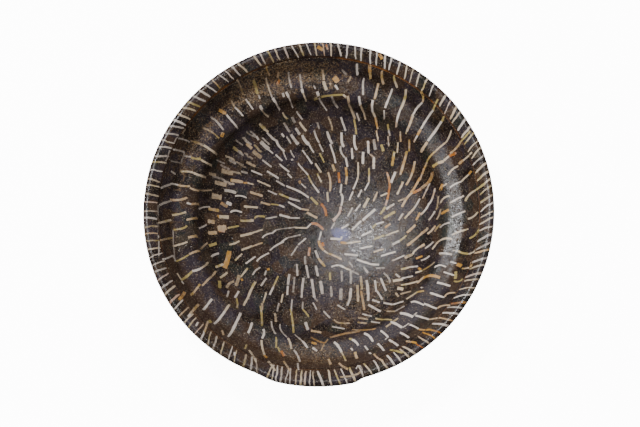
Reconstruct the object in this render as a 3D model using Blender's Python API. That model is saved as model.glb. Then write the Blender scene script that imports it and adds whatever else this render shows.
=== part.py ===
"""A mosaic glass bowl: a dish with a rounded rim band, a ledge inside, a deeper bowl in the middle
and a foot ring, all fused as one body of glass. It stands on its foot ring, centred on the Z axis.
"""

import math

import bmesh
import bpy
from mathutils import Vector

# Overall sizes, in metres
RIM_RADIUS = 0.0750
WALL = 0.0030

# Rim band: one strip of glass laid round the edge, with a rounded lip
LIP_RADIUS = 0.0018
BAND_CROWN = 0.0110
BAND_TOP_SLOPE = math.radians(22.0)
BAND_FOOT_SLOPE = math.radians(46.0)
SEAM_WIDTH = 0.0010
SEAM_DEPTH = 0.00035

# Upper wall and ledge
UPPER_WALL = 0.0078
UPPER_SLOPE = math.radians(58.0)
UPPER_BEND = 0.0040
LEDGE = 0.0054
LEDGE_SLOPE = math.radians(14.0)

# Shoulder, lower wall and floor
OUTER_SHOULDER_BEND = 0.0016
LOWER_SLOPE = math.radians(68.0)
LOWER_BEND = 0.0160
FLOOR_EDGE_SLOPE = math.radians(22.0)

# Foot ring
FOOT_RADIUS = 0.0330
FOOT_WIDTH = 0.0050
FOOT_FLARE = 0.0008
FOOT_BELOW_FLOOR = 0.0014
FOOT_EDGE = 0.0009

# The rim is a little oval, and the strip's two ends lie over each other at the front
OVAL = 0.0004
OVAL_AXIS = math.radians(30.0)
OVERLAP_START = math.radians(248.0)
OVERLAP_TAPER = math.radians(9.0)
OVERLAP_END = math.radians(285.0)
OVERLAP_BLUNT = math.radians(4.0)
OVERLAP_THICKNESS = 0.0013
OVERLAP_LIFT = 0.0004

# How finely the round form and each bend are divided
SEGMENTS = 84
BAND_STEPS = 3
LIP_STEPS = 6
BEND_STEPS = 3
LOWER_STEPS = 5
FLOOR_STEPS = 6
FOOT_EDGE_STEPS = 2
UNDERSIDE_STEPS = 3


class Station:
    """A point of the inner surface's section, with its slope and the glass behind it."""

    def __init__(self, r, z, slope, glass):
        self.r = r
        self.z = z
        self.slope = slope
        self.glass = glass

    def behind(self, distance):
        """The point that lies this far into the glass, square to the surface."""
        r = self.r + distance * math.sin(self.slope)
        z = self.z - distance * math.cos(self.slope)
        return r, z


def straight(line, length, glass=WALL):
    """Adds a straight run, inward and down at the last slope."""
    last = line[-1]
    r = last.r - length * math.cos(last.slope)
    z = last.z - length * math.sin(last.slope)
    line.append(Station(r, z, last.slope, glass))


def bend(line, radius, slope, steps, glass=WALL):
    """Adds an arc that turns the line from its last slope to the given one."""
    first = line[-1]
    turn = 1 if slope > first.slope else -1
    for step in range(1, steps + 1):
        now = first.slope + (slope - first.slope) * step / steps
        r = first.r - turn * radius * (math.sin(now) - math.sin(first.slope))
        z = first.z - turn * radius * (math.cos(first.slope) - math.cos(now))
        line.append(Station(r, z, now, glass))


def rim_band():
    """The strip's inner face, from the lip down to the seam. It is as thick as the lip is round."""
    lip_r = RIM_RADIUS - LIP_RADIUS
    r = lip_r - LIP_RADIUS * math.sin(BAND_TOP_SLOPE)
    z = LIP_RADIUS * math.cos(BAND_TOP_SLOPE)
    line = [Station(r, z, BAND_TOP_SLOPE, 2 * LIP_RADIUS)]
    bend(line, BAND_CROWN, BAND_FOOT_SLOPE, BAND_STEPS, 2 * LIP_RADIUS)
    return line


def wall(line):
    """The upper wall, the ledge, the shoulder and the lower wall that curves into the floor."""
    line[-1].slope = UPPER_SLOPE
    straight(line, SEAM_WIDTH)
    straight(line, UPPER_WALL)
    bend(line, UPPER_BEND, LEDGE_SLOPE, BEND_STEPS)
    straight(line, LEDGE)
    bend(line, WALL + OUTER_SHOULDER_BEND, LOWER_SLOPE, BEND_STEPS)
    bend(line, LOWER_BEND, FLOOR_EDGE_SLOPE, LOWER_STEPS)


def half_round(start):
    """The lip, from the strip's inner face over the top to its outer face."""
    centre_r, centre_z = start.behind(LIP_RADIUS)
    points = []
    for step in range(1, LIP_STEPS + 1):
        turned = start.slope - math.pi * step / (LIP_STEPS + 1)
        r = centre_r - LIP_RADIUS * math.sin(turned)
        z = centre_z + LIP_RADIUS * math.cos(turned)
        points.append((r, z))
    return points


def seam(above, below):
    """The groove between the strip and the wall: its two edges, and its bottom between them."""
    middle = Station((above.r + below.r) / 2, (above.z + below.z) / 2, below.slope, WALL)
    return [(above.r, above.z), middle.behind(SEAM_DEPTH), (below.r, below.z)]


def foot_edge(r, z, side):
    """The foot ring's rounded bottom edge, from its side to its flat. side is 1 outside, -1 inside."""
    points = []
    for step in range(FOOT_EDGE_STEPS + 1):
        turned = math.pi / 2 * step / FOOT_EDGE_STEPS
        edge_r = r - side * FOOT_EDGE * (1 - math.cos(turned))
        edge_z = z + FOOT_EDGE * (1 - math.sin(turned))
        points.append((edge_r, edge_z))
    return points


def section():
    """The whole section, from the floor's middle over the lip to the underside's middle."""
    line = rim_band()
    band = len(line)
    wall(line)
    floor_radius = line[-1].r / math.sin(FLOOR_EDGE_SLOPE)
    bend(line, floor_radius, 0.0, FLOOR_STEPS)
    under_radius = floor_radius + WALL
    lowest = line[-1].z - WALL
    ground = lowest - FOOT_BELOW_FLOOR

    def under(r):
        """The underside's height at this radius, below the floor."""
        return lowest + under_radius - math.sqrt(under_radius**2 - r**2)

    inner = [(station.r, station.z) for station in line]
    inner[-1] = (0.0, line[-1].z)
    inner[band - 1 : band + 1] = seam(line[band - 1], line[band])
    outer = [station.behind(station.glass) for station in line[: band - 1] + line[band:]]
    outer = [point for point in outer if point[0] > FOOT_RADIUS + FOOT_FLARE]
    inside = FOOT_RADIUS - FOOT_WIDTH
    foot = [(FOOT_RADIUS, under(FOOT_RADIUS))]
    foot += foot_edge(FOOT_RADIUS + FOOT_FLARE, ground, 1)
    foot += reversed(foot_edge(inside, ground, -1))
    middle = [inside * step / UNDERSIDE_STEPS for step in range(UNDERSIDE_STEPS, -1, -1)]
    points = inner[::-1] + half_round(line[0]) + outer + foot + [(r, under(r)) for r in middle]
    return [Vector((r, 0.0, z - ground)) for r, z in points]


def eased(value, low, high):
    """0 below low, 1 above high, and a smooth rise between them."""
    share = min(1.0, max(0.0, (value - low) / (high - low)))
    return share * share * (3 - 2 * share)


def lapped(angle):
    """How far the strip's pointed end lies over its blunt end at this angle, from 0 to 1."""
    rise = eased(angle, OVERLAP_START, OVERLAP_START + OVERLAP_TAPER)
    fall = eased(angle, OVERLAP_END - OVERLAP_BLUNT, OVERLAP_END)
    return rise * (1 - fall)


def hand_made(point):
    """Where a point of the true round form lies on the slightly oval bowl with its lapped rim."""
    radius = math.hypot(point.x, point.y)
    angle = math.atan2(point.y, point.x) % (2 * math.pi)
    outward = OVAL * (radius / RIM_RADIUS) ** 2 * math.cos(2 * (angle - OVAL_AXIS))
    seam_radius = rim_band()[-1].r
    lap = lapped(angle) * eased(radius, seam_radius, RIM_RADIUS - LIP_RADIUS)
    outward += OVERLAP_THICKNESS * lap
    move = Vector((math.cos(angle) * outward, math.sin(angle) * outward, OVERLAP_LIFT * lap))
    return point + move


def glass():
    material = bpy.data.materials.new("mosaic_glass")
    material.use_nodes = True
    shader = material.node_tree.nodes["Principled BSDF"]
    shader.inputs["Base Color"].default_value = (0.100, 0.080, 0.068, 1.0)
    shader.inputs["Metallic"].default_value = 0.0
    shader.inputs["Roughness"].default_value = 0.35
    material.diffuse_color = (0.100, 0.080, 0.068, 1.0)
    return material


def bowl():
    """The section spun round the axis and closed at both middles, then given its hand-made form."""
    mesh = bmesh.new()
    verts = [mesh.verts.new(point) for point in section()]
    edges = [mesh.edges.new(pair) for pair in zip(verts, verts[1:])]
    bmesh.ops.spin(
        mesh,
        geom=verts + edges,
        cent=(0.0, 0.0, 0.0),
        axis=(0.0, 0.0, 1.0),
        angle=2 * math.pi,
        steps=SEGMENTS,
        use_merge=True,
    )
    bmesh.ops.remove_doubles(mesh, verts=mesh.verts, dist=0.00001)
    for vert in mesh.verts:
        vert.co = hand_made(vert.co)
    bmesh.ops.recalc_face_normals(mesh, faces=mesh.faces)
    data = bpy.data.meshes.new("bowl")
    mesh.to_mesh(data)
    mesh.free()
    data.shade_smooth()
    data.materials.append(glass())
    return data


def main():
    for old in list(bpy.data.objects):
        bpy.data.objects.remove(old)
    piece = bpy.data.objects.new("bowl", bowl())
    bpy.context.scene.collection.objects.link(piece)


main()
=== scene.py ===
"""Dresses the mosaic glass bowl: the turned body, the rings of glass strands on the rim, the outside
and a stretch of the floor, the single strands placed one by one on the floor and the ledge, and the stage.
"""

import math

import bpy
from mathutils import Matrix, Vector


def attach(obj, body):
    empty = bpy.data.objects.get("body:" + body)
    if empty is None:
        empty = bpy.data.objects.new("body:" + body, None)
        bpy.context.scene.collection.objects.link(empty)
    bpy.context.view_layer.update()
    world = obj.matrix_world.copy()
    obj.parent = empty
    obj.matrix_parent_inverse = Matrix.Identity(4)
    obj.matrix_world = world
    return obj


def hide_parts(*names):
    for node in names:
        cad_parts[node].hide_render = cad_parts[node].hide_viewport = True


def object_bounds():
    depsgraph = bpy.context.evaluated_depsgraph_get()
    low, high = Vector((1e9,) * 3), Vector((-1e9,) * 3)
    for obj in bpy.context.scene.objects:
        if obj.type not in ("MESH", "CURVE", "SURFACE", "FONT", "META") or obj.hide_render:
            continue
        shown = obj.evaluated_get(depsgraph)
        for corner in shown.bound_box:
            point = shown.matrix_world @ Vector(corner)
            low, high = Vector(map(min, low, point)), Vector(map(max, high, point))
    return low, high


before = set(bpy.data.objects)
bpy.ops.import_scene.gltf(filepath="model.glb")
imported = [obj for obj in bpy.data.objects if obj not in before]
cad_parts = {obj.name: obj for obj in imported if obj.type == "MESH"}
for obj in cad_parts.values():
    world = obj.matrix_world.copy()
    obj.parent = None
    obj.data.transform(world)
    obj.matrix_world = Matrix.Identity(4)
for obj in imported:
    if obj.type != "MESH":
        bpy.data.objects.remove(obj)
CAD_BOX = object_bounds()

bl_info = {
    "name": "Mosaic Glass Bowl",
    "version": (1, 0, 0),
    "blender": (4, 5, 0),
    "location": "3D View > Sidebar > Bowl",
    "description": "Builds a bowl of fused mosaic glass with swirling strands",
    "category": "Add Mesh",
}

TAU = 2 * math.pi
COMPASS_STEPS = 12
TINY = 1e-6
WELD = 0.000004

# How finely each stretch of the section is divided, and how many of its points on either side of the
# groove's upper edge the outside passes over
BAND_STEPS = 10
SEAM_STEPS = 4
UPPER_WALL_STEPS = 12
UPPER_BEND_STEPS = 8
LEDGE_STEPS = 8
SHOULDER_STEPS = 9
LOWER_BEND_STEPS = 16
FLOOR_STEPS = 40
LIP_STEPS = 16
FOOT_SIDE_STEPS = 5
FOOT_EDGE_STEPS = 5
UNDERSIDE_STEPS = 12
PASSED_OVER = 3

# Read off the photograph: metres to a pixel at the rim, its width and height in pixels, the place in plan
# that its middle shows, and how far the camera leans from straight down
PIXEL = 0.000427
PICTURE_SIZE = (640, 427)
LOOK_AT = (0.0005, -0.0017)
CAMERA_TILT = math.radians(12.0)


def length(name, description, metres):
    """A size setting."""
    return bpy.props.FloatProperty(name=name, description=description, default=metres, unit="LENGTH")


def angle(name, description, degrees):
    """An angle setting."""
    turned = math.radians(degrees)
    return bpy.props.FloatProperty(name=name, description=description, default=turned, subtype="ANGLE")


class BowlSizes(bpy.types.PropertyGroup):
    """The turned form's sizes, the same as the solid's."""

    rim_radius: length("Rim radius", "Radius of the outer edge", 0.0750)
    wall: length("Wall", "Thickness of the glass", 0.0030)
    lip_radius: length("Lip radius", "Roundness of the lip", 0.0018)
    band_crown: length("Band crown", "Radius of the rim strip's bulge", 0.0110)
    band_top_slope: angle("Band top slope", "Slope of the rim strip at the lip", 22.0)
    band_foot_slope: angle("Band foot slope", "Slope of the rim strip at its seam", 46.0)
    seam_width: length("Seam width", "Width of the groove under the strip", 0.0010)
    seam_depth: length("Seam depth", "Depth of the groove under the strip", 0.00035)
    upper_wall: length("Upper wall", "Length of the wall under the seam", 0.0078)
    upper_slope: angle("Upper slope", "Slope of the wall under the seam", 58.0)
    upper_bend: length("Upper bend", "Bend from the wall to the ledge", 0.0040)
    ledge: length("Ledge", "Width of the flat part of the ledge", 0.0054)
    ledge_slope: angle("Ledge slope", "Slope of the ledge", 14.0)
    outer_shoulder_bend: length("Outer shoulder bend", "Bend under the shoulder", 0.0016)
    lower_slope: angle("Lower slope", "Steepest slope of the deep part", 68.0)
    lower_bend: length("Lower bend", "Bend from the wall to the floor", 0.0160)
    floor_slope: angle("Floor edge slope", "Slope at the edge of the floor", 22.0)
    foot_radius: length("Foot radius", "Radius of the foot ring", 0.0330)
    foot_width: length("Foot width", "Width of the foot ring", 0.0050)
    foot_flare: length("Foot flare", "How far the foot ring spreads", 0.0008)
    foot_below_floor: length("Foot below floor", "Gap under the floor's middle", 0.0014)
    foot_edge: length("Foot edge", "Roundness of the foot's edges", 0.0009)
    oval: length("Oval", "How far the rim is out of round", 0.0004)
    oval_axis: angle("Oval axis", "Where the rim is widest", 30.0)
    lap_start: angle("Lap start", "Pointed end of the strip", 248.0)
    lap_taper: angle("Lap taper", "Length of the point", 9.0)
    lap_end: angle("Lap end", "Blunt end of the strip", 285.0)
    lap_blunt: angle("Lap blunt end", "Length of the blunt end", 4.0)
    lap_thickness: length("Lap thickness", "How far the lap stands out", 0.0013)
    lap_lift: length("Lap lift", "How far the lap stands up", 0.0004)
    turns: bpy.props.IntProperty(name="Faces round", description="Faces round the bowl", default=360)


def colour(name, description, r, g, b):
    """A colour setting. Its default is given as it shows on a screen, from 0 to 255."""
    linear = [((c / 255 + 0.055) / 1.055) ** 2.4 if c > 10 else c / 255 / 12.92 for c in (r, g, b)]
    return bpy.props.FloatVectorProperty(
        name=name, description=description, default=linear, size=3, min=0.0, max=1.0, subtype="COLOR"
    )


class GlassColours(bpy.types.PropertyGroup):
    """The colours of the glass and of what lies on it."""

    dark: colour("Dark glass", "Near-black ground", 27, 19, 18)
    purple: colour("Purple glass", "Purple cast in the ground", 48, 40, 48)
    brown: colour("Brown glass", "Brown cast in the ground", 60, 44, 34)
    green: colour("Green glass", "Green cast in the ground", 40, 50, 45)
    blue: colour("Blue glass", "Blue chip", 84, 88, 138)
    grey: colour("Grey strand", "Grey-white strands", 220, 207, 195)
    cream: colour("Cream strand", "Cream strands", 214, 193, 165)
    olive: colour("Olive strand", "Yellow-olive strands", 178, 158, 98)
    amber: colour("Amber strand", "Amber strands", 190, 134, 52)
    orange: colour("Orange strand", "Orange strands", 178, 104, 36)
    dirt: colour("Dirt", "Tan weathering", 128, 102, 72)
    # Frost also serves as painted sheen: it lightens the floor right of the middle and the ledge on the
    # right
    frost_and_sheen: colour("Frost", "Pale grey weathering", 206, 198, 198)
    specks: colour("Specks", "Tiny pale specks in the worn surface", 196, 178, 150)
    seam: colour("Seam", "Orange-brown line along the seam", 170, 104, 40)


class StageSettings(bpy.types.PropertyGroup):
    """The camera and the light."""

    distance: bpy.props.FloatProperty(
        name="Camera distance", description="From the camera to the rim", default=1.1, unit="LENGTH"
    )
    key_power: bpy.props.FloatProperty(
        name="Key light", description="Power of the main light", default=16.0
    )
    side_power: bpy.props.FloatProperty(
        name="Side light", description="Power of the light at the side", default=1.3
    )
    sky: bpy.props.FloatProperty(name="Sky", description="Strength of the even light", default=0.22)
    floor_glow: bpy.props.FloatProperty(
        name="Floor glow", description="Lifts the floor to white", default=12.0
    )


class Nodes:
    """Short calls for building a node tree."""

    def __init__(self, tree):
        self.tree = tree

    def add(self, kind, inputs=None, **settings):
        node = self.tree.nodes.new(kind)
        for key, value in settings.items():
            setattr(node, key, value)
        for key, value in (inputs or {}).items():
            self.put(node.inputs[key], value)
        return node

    def put(self, socket, value):
        """Gives a socket a link or a plain value."""
        if isinstance(value, bpy.types.NodeSocket):
            self.tree.links.new(value, socket)
        elif value is not None:
            socket.default_value = value

    def math(self, operation, *values, clamp=False):
        node = self.add("ShaderNodeMath", operation=operation, use_clamp=clamp)
        for socket, value in zip(node.inputs, values):
            self.put(socket, value)
        return node.outputs[0]

    def times(self, first, second, clamp=False):
        return self.math("MULTIPLY", first, second, clamp=clamp)

    def plus(self, first, second, clamp=False):
        return self.math("ADD", first, second, clamp=clamp)

    def minus(self, first, second):
        return self.math("SUBTRACT", first, second)

    def times_plus(self, first, second, third):
        return self.math("MULTIPLY_ADD", first, second, third)

    def vector(self, operation, *values):
        node = self.add("ShaderNodeVectorMath", operation=operation)
        for socket, value in zip(node.inputs, values):
            self.put(socket, value)
        return node.outputs["Value" if operation in ("LENGTH", "DISTANCE", "DOT_PRODUCT") else "Vector"]

    def combine(self, x=0.0, y=0.0, z=0.0):
        return self.add("ShaderNodeCombineXYZ", {"X": x, "Y": y, "Z": z}).outputs[0]

    def separate(self, vector):
        return self.add("ShaderNodeSeparateXYZ", {0: vector}).outputs

    def remap(self, value, low, high, to_low=0.0, to_high=1.0):
        """A number's way from low to high, as a smooth step between two other numbers."""
        node = self.add("ShaderNodeMapRange", interpolation_type="SMOOTHSTEP")
        for socket, item in zip(node.inputs, (value, low, high, to_low, to_high)):
            self.put(socket, item)
        return node.outputs[0]

    def lerp(self, share, low, high):
        """A plain mix of two numbers."""
        return self.times_plus(share, self.minus(high, low), low)

    def blend(self, share, first, second):
        """A mix of two colours."""
        node = self.add("ShaderNodeMix", data_type="RGBA", blend_type="MIX")
        for name, value in (("Factor_Float", share), ("A_Color", first), ("B_Color", second)):
            socket = next(s for s in node.inputs if s.identifier == name)
            self.put(socket, value)
        return next(s for s in node.outputs if s.identifier == "Result_Color")

    def noise(self, vector, scale, detail=2.0, roughness=0.5):
        inputs = {"Vector": vector, "Scale": scale, "Detail": detail, "Roughness": roughness}
        return self.add("ShaderNodeTexNoise", inputs, noise_dimensions="3D").outputs["Fac"]

    def compass(self, turn_share, values):
        """A number that changes round the bowl: its values at every twelfth of a turn."""
        if not isinstance(values, (tuple, list)):
            return values
        low, high = min(values), max(values)
        if high - low < TINY:
            return low
        node = self.add("ShaderNodeFloatCurve", {"Value": turn_share})
        curve = node.mapping.curves[0]
        ring = list(values) + [values[0]]
        while len(curve.points) < len(ring):
            curve.points.new(0.5, 0.5)
        for step, (point, value) in enumerate(zip(curve.points, ring)):
            point.location = (step / COMPASS_STEPS, (value - low) / (high - low))
            point.handle_type = "AUTO_CLAMPED"
        node.mapping.update()
        return self.times_plus(node.outputs[0], high - low, low)


def new_group(name, kind, inputs, outputs):
    """An empty node group with its named sockets, and its two end nodes."""
    tree = bpy.data.node_groups.new(name, kind)
    for title, (socket, default) in inputs.items():
        item = tree.interface.new_socket(title, in_out="INPUT", socket_type=socket)
        if default is not None:
            item.default_value = default
    for title, socket in outputs.items():
        tree.interface.new_socket(title, in_out="OUTPUT", socket_type=socket)
    nodes = Nodes(tree)
    return nodes, nodes.add("NodeGroupInput").outputs, nodes.add("NodeGroupOutput").inputs


FLOAT = "NodeSocketFloat"
INT = "NodeSocketInt"
VECTOR = "NodeSocketVector"
COLOR = "NodeSocketColor"
GEOMETRY = "NodeSocketGeometry"


class Section:
    """The bowl's section from the floor's middle over the lip to the underside's middle."""

    def __init__(self, sizes):
        self.sizes = sizes
        self.line = []
        self.build()

    def straight(self, length, steps, glass):
        """Adds a straight run, inward and down at the last slope."""
        first = self.line[-1]
        for step in range(1, steps + 1):
            run = length * step / steps
            r = first[0] - run * math.cos(first[2])
            z = first[1] - run * math.sin(first[2])
            self.line.append((r, z, first[2], glass))

    def bend(self, radius, slope, steps, glass):
        """Adds an arc that turns the line from its last slope to the given one."""
        first = self.line[-1]
        turn = 1 if slope > first[2] else -1
        for step in range(1, steps + 1):
            now = first[2] + (slope - first[2]) * step / steps
            r = first[0] - turn * radius * (math.sin(now) - math.sin(first[2]))
            z = first[1] - turn * radius * (math.cos(first[2]) - math.cos(now))
            self.line.append((r, z, now, glass))

    @staticmethod
    def behind(station, distance):
        """The point that lies this far into the glass, square to the surface."""
        r, z, slope = station[:3]
        return r + distance * math.sin(slope), z - distance * math.cos(slope)

    def build(self):
        """Joins the inner surface, the lip, the outside, the foot and the underside."""
        self.walk_inside()
        inner = self.inside()
        points = inner[::-1] + self.lip() + self.outside() + self.foot()
        self.points = [(r, z - self.ground) for r, z in points]
        self.lip_index = len(inner) + LIP_STEPS // 2 - 1
        self.runs = [0.0]
        for (r1, z1), (r2, z2) in zip(self.points, self.points[1:]):
            self.runs.append(self.runs[-1] + math.hypot(r2 - r1, z2 - z1))

    def walk_inside(self):
        """The inner surface's stations, from the lip to the floor's middle, and the heights below it."""
        s = self.sizes
        thick = 2 * s.lip_radius
        lip_r = s.rim_radius - s.lip_radius
        r = lip_r - s.lip_radius * math.sin(s.band_top_slope)
        self.line = [(r, s.lip_radius * math.cos(s.band_top_slope), s.band_top_slope, thick)]
        self.bend(s.band_crown, s.band_foot_slope, BAND_STEPS, thick)
        self.band = len(self.line)
        self.seam_radius = self.line[-1][0]
        self.line[-1] = self.line[-1][:2] + (s.upper_slope, thick)
        self.straight(s.seam_width, SEAM_STEPS, s.wall)
        self.straight(s.upper_wall, UPPER_WALL_STEPS, s.wall)
        self.bend(s.upper_bend, s.ledge_slope, UPPER_BEND_STEPS, s.wall)
        self.straight(s.ledge, LEDGE_STEPS, s.wall)
        self.bend(s.wall + s.outer_shoulder_bend, s.lower_slope, SHOULDER_STEPS, s.wall)
        self.bend(s.lower_bend, s.floor_slope, LOWER_BEND_STEPS, s.wall)
        self.floor_radius = self.line[-1][0] / math.sin(s.floor_slope)
        self.bend(self.floor_radius, 0.0, FLOOR_STEPS, s.wall)
        self.lowest = self.line[-1][1] - s.wall
        self.ground = self.lowest - s.foot_below_floor

    def inside(self):
        """The inner surface's points, with the groove cut in under the strip."""
        points = []
        for number, station in enumerate(self.line):
            seam_share = (number - self.band + 1) / SEAM_STEPS
            cut = 0.0
            if 0 < seam_share < 1:
                cut = self.sizes.seam_depth * math.sin(math.pi * seam_share)
            points.append(self.behind(station, cut))
        points[-1] = (0.0, points[-1][1])
        return points

    def lip(self):
        """The rounded lip, from the strip's inner face over to its outer face."""
        start = self.line[0]
        bulge = self.sizes.lip_radius
        centre_r, centre_z = self.behind(start, bulge)
        points = []
        for step in range(1, LIP_STEPS):
            turned = start[2] - math.pi * step / LIP_STEPS
            points.append((centre_r - bulge * math.sin(turned), centre_z + bulge * math.cos(turned)))
        return points

    def outside(self):
        """The outer surface, down to where it meets the foot ring."""
        s = self.sizes
        stations = self.line[: self.band - PASSED_OVER] + self.line[self.band + PASSED_OVER :]
        points = [self.behind(station, station[3]) for station in stations]
        return [point for point in points if point[0] > s.foot_radius + s.foot_flare]

    def under(self, r):
        """The underside's height at this radius, below the floor."""
        radius = self.floor_radius + self.sizes.wall
        return self.lowest + radius - math.sqrt(radius**2 - r**2)

    def foot(self):
        """The foot ring, and the underside that it stands round."""
        s = self.sizes
        inside = s.foot_radius - s.foot_width
        points = [(s.foot_radius, self.under(s.foot_radius))]
        points += self.foot_side(s.foot_radius, s.foot_radius + s.foot_flare, 1)
        points += reversed(self.foot_side(inside, inside, -1))
        for step in range(UNDERSIDE_STEPS, -1, -1):
            r = inside * step / UNDERSIDE_STEPS
            points.append((r, self.under(r)))
        return points

    def foot_side(self, top, bottom, side):
        """One side of the foot ring, down to its rounded edge. side is 1 outside and -1 inside."""
        edge = self.sizes.foot_edge
        high = self.under(top)
        low = self.ground
        points = []
        for step in range(1, FOOT_SIDE_STEPS):
            share = step / FOOT_SIDE_STEPS
            points.append((top + (bottom - top) * share, high + (low + edge - high) * share))
        for step in range(FOOT_EDGE_STEPS + 1):
            turned = math.pi / 2 * step / FOOT_EDGE_STEPS
            edge_r = bottom - side * edge * (1 - math.cos(turned))
            edge_z = low + edge * (1 - math.sin(turned))
            points.append((edge_r, edge_z))
        return points

    def run_at(self, radius, pairs):
        """How far along the section it is to this radius, on the first of these stretches that has it."""
        for low, high in pairs:
            r1, r2 = self.points[low][0], self.points[high][0]
            if r1 <= radius <= r2 and r2 > r1:
                share = (radius - r1) / (r2 - r1)
                return self.runs[low] + share * (self.runs[high] - self.runs[low])
        return self.runs[self.lip_index]

    def run_inside(self, radius):
        """The way along the section, from the floor's middle to this radius on the inside."""
        return self.run_at(radius, [(number, number + 1) for number in range(self.lip_index)])

    def run_outside(self, radius):
        """The same on the outside, below the lip."""
        numbers = range(len(self.points) - 2, self.lip_index, -1)
        return self.run_at(radius, [(number + 1, number) for number in numbers])


def store(nodes, geometry, name, value):
    """Keeps a value on the geometry's points under a name."""
    settings = {"data_type": "FLOAT", "domain": "POINT"}
    node = nodes.add("GeometryNodeStoreNamedAttribute", {"Name": name}, **settings)
    nodes.put(node.inputs["Geometry"], geometry)
    nodes.put(next(s for s in node.inputs if s.name == "Value" and s.enabled), value)
    return node.outputs[0]


def curve_sample(nodes, curve, run):
    """Reads a curve this far along it."""
    settings = {"mode": "LENGTH", "use_all_curves": True}
    return nodes.add("GeometryNodeSampleCurve", {"Curves": curve, "Length": run}, **settings)


def on_bowl_group(sizes, section):
    """Node group: the place on the hand-made bowl of a point given by its turn and its run."""
    nodes, given, made = new_group(
        "On the bowl",
        "GeometryNodeTree",
        {
            "Section": (GEOMETRY, None),
            "Turn": (FLOAT, 0.0),
            "Run": (FLOAT, 0.0),
            "Off": (FLOAT, 0.0),
            "Relief": (FLOAT, 0.0002),
            "Relief Size": (FLOAT, 0.012),
        },
        {"Position": VECTOR},
    )
    sample = curve_sample(nodes, given["Section"], given["Run"])
    place = nodes.separate(sample.outputs["Position"])
    along = nodes.separate(sample.outputs["Tangent"])
    turn = given["Turn"]
    cosine, sine = nodes.math("COSINE", turn), nodes.math("SINE", turn)
    even_x = nodes.times(place["X"], cosine)
    even_y = nodes.times(place["X"], sine)
    even = nodes.combine(even_x, even_y, place["Z"])
    lumps = nodes.noise(even, nodes.math("DIVIDE", 1.0, given["Relief Size"]), 2.0)
    lumps = nodes.times(nodes.minus(lumps, 0.83), given["Relief"])
    lumps = nodes.times(lumps, nodes.remap(place["Z"], 0.0004, 0.0030))
    off = nodes.plus(given["Off"], lumps)
    radius = nodes.minus(place["X"], nodes.times(along["Z"], off))
    height = nodes.times_plus(along["X"], off, place["Z"])
    twice = nodes.times(nodes.minus(turn, sizes.oval_axis), 2.0)
    share = nodes.math("POWER", nodes.math("DIVIDE", radius, sizes.rim_radius), 2.0)
    oval = nodes.times(nodes.times(nodes.math("COSINE", twice), share), sizes.oval)
    whole = nodes.math("FLOORED_MODULO", turn, TAU)
    rise = nodes.remap(whole, sizes.lap_start, sizes.lap_start + sizes.lap_taper)
    fall = nodes.remap(whole, sizes.lap_end - sizes.lap_blunt, sizes.lap_end, 1.0, 0.0)
    edge = nodes.remap(radius, section.seam_radius, sizes.rim_radius - sizes.lip_radius)
    lap = nodes.times(nodes.times(rise, fall), edge)
    outward = nodes.times_plus(lap, sizes.lap_thickness, oval)
    radius = nodes.plus(radius, outward)
    height = nodes.times_plus(lap, sizes.lap_lift, height)
    x = nodes.times(radius, cosine)
    y = nodes.times(radius, sine)
    nodes.put(made["Position"], nodes.combine(x, y, height))
    return nodes.tree


def tree_output(nodes, geometry, material, made, smooth=True):
    """Ends a tree: real geometry, shaded smooth or flat, with its material."""
    shading = {"Geometry": geometry, "Shade Smooth": smooth}
    shaded = nodes.add("GeometryNodeSetShadeSmooth", shading).outputs[0]
    real = nodes.add("GeometryNodeRealizeInstances", {"Geometry": shaded}).outputs[0]
    painted = nodes.add("GeometryNodeSetMaterial", {"Geometry": real, "Material": material}).outputs[0]
    nodes.put(made["Geometry"], painted)


def body_tree(on_bowl, material):
    """Node tree: turns the section round the axis."""
    nodes, given, made = new_group(
        "Turned bowl",
        "GeometryNodeTree",
        {
            "Geometry": (GEOMETRY, None),
            "Faces Round": (INT, 360),
        },
        {"Geometry": GEOMETRY},
    )
    section = nodes.add("GeometryNodeMeshToCurve", {"Mesh": given["Geometry"]}).outputs[0]
    counted = nodes.add("GeometryNodeAttributeDomainSize", {"Geometry": given["Geometry"]})
    count = counted.outputs["Point Count"]
    round_points = nodes.plus(given["Faces Round"], 1.0)
    grid = nodes.add(
        "GeometryNodeMeshGrid",
        {"Size X": 1.0, "Size Y": 1.0, "Vertices X": round_points, "Vertices Y": count},
    )
    flat = nodes.separate(nodes.add("GeometryNodeInputPosition").outputs[0])
    share = nodes.plus(flat["X"], 0.5)
    row = nodes.times(nodes.plus(flat["Y"], 0.5), nodes.minus(count, 1.0))
    row = nodes.math("ROUND", row)
    length = nodes.add("GeometryNodeSplineParameter").outputs["Length"]
    sampled = nodes.add("GeometryNodeSampleIndex", data_type="FLOAT", domain="POINT")
    nodes.put(sampled.inputs["Geometry"], section)
    nodes.put(next(s for s in sampled.inputs if s.name == "Value" and s.enabled), length)
    nodes.put(sampled.inputs["Index"], row)
    run = next(s for s in sampled.outputs if s.enabled)
    ground = store(nodes, grid.outputs["Mesh"], "run", run)
    where = {"Section": section, "Turn": nodes.times(share, TAU), "Run": run}
    place = nodes.add("GeometryNodeGroup", where, node_tree=on_bowl)
    moved = nodes.add("GeometryNodeSetPosition", {"Geometry": ground, "Position": place.outputs[0]})
    flipped = nodes.add("GeometryNodeFlipFaces", {"Mesh": moved.outputs[0]})
    joining = {"Geometry": flipped.outputs[0], "Distance": WELD}
    merged = nodes.add("GeometryNodeMergeByDistance", joining)
    tree_output(nodes, merged.outputs[0], material, made)
    return nodes.tree


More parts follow.
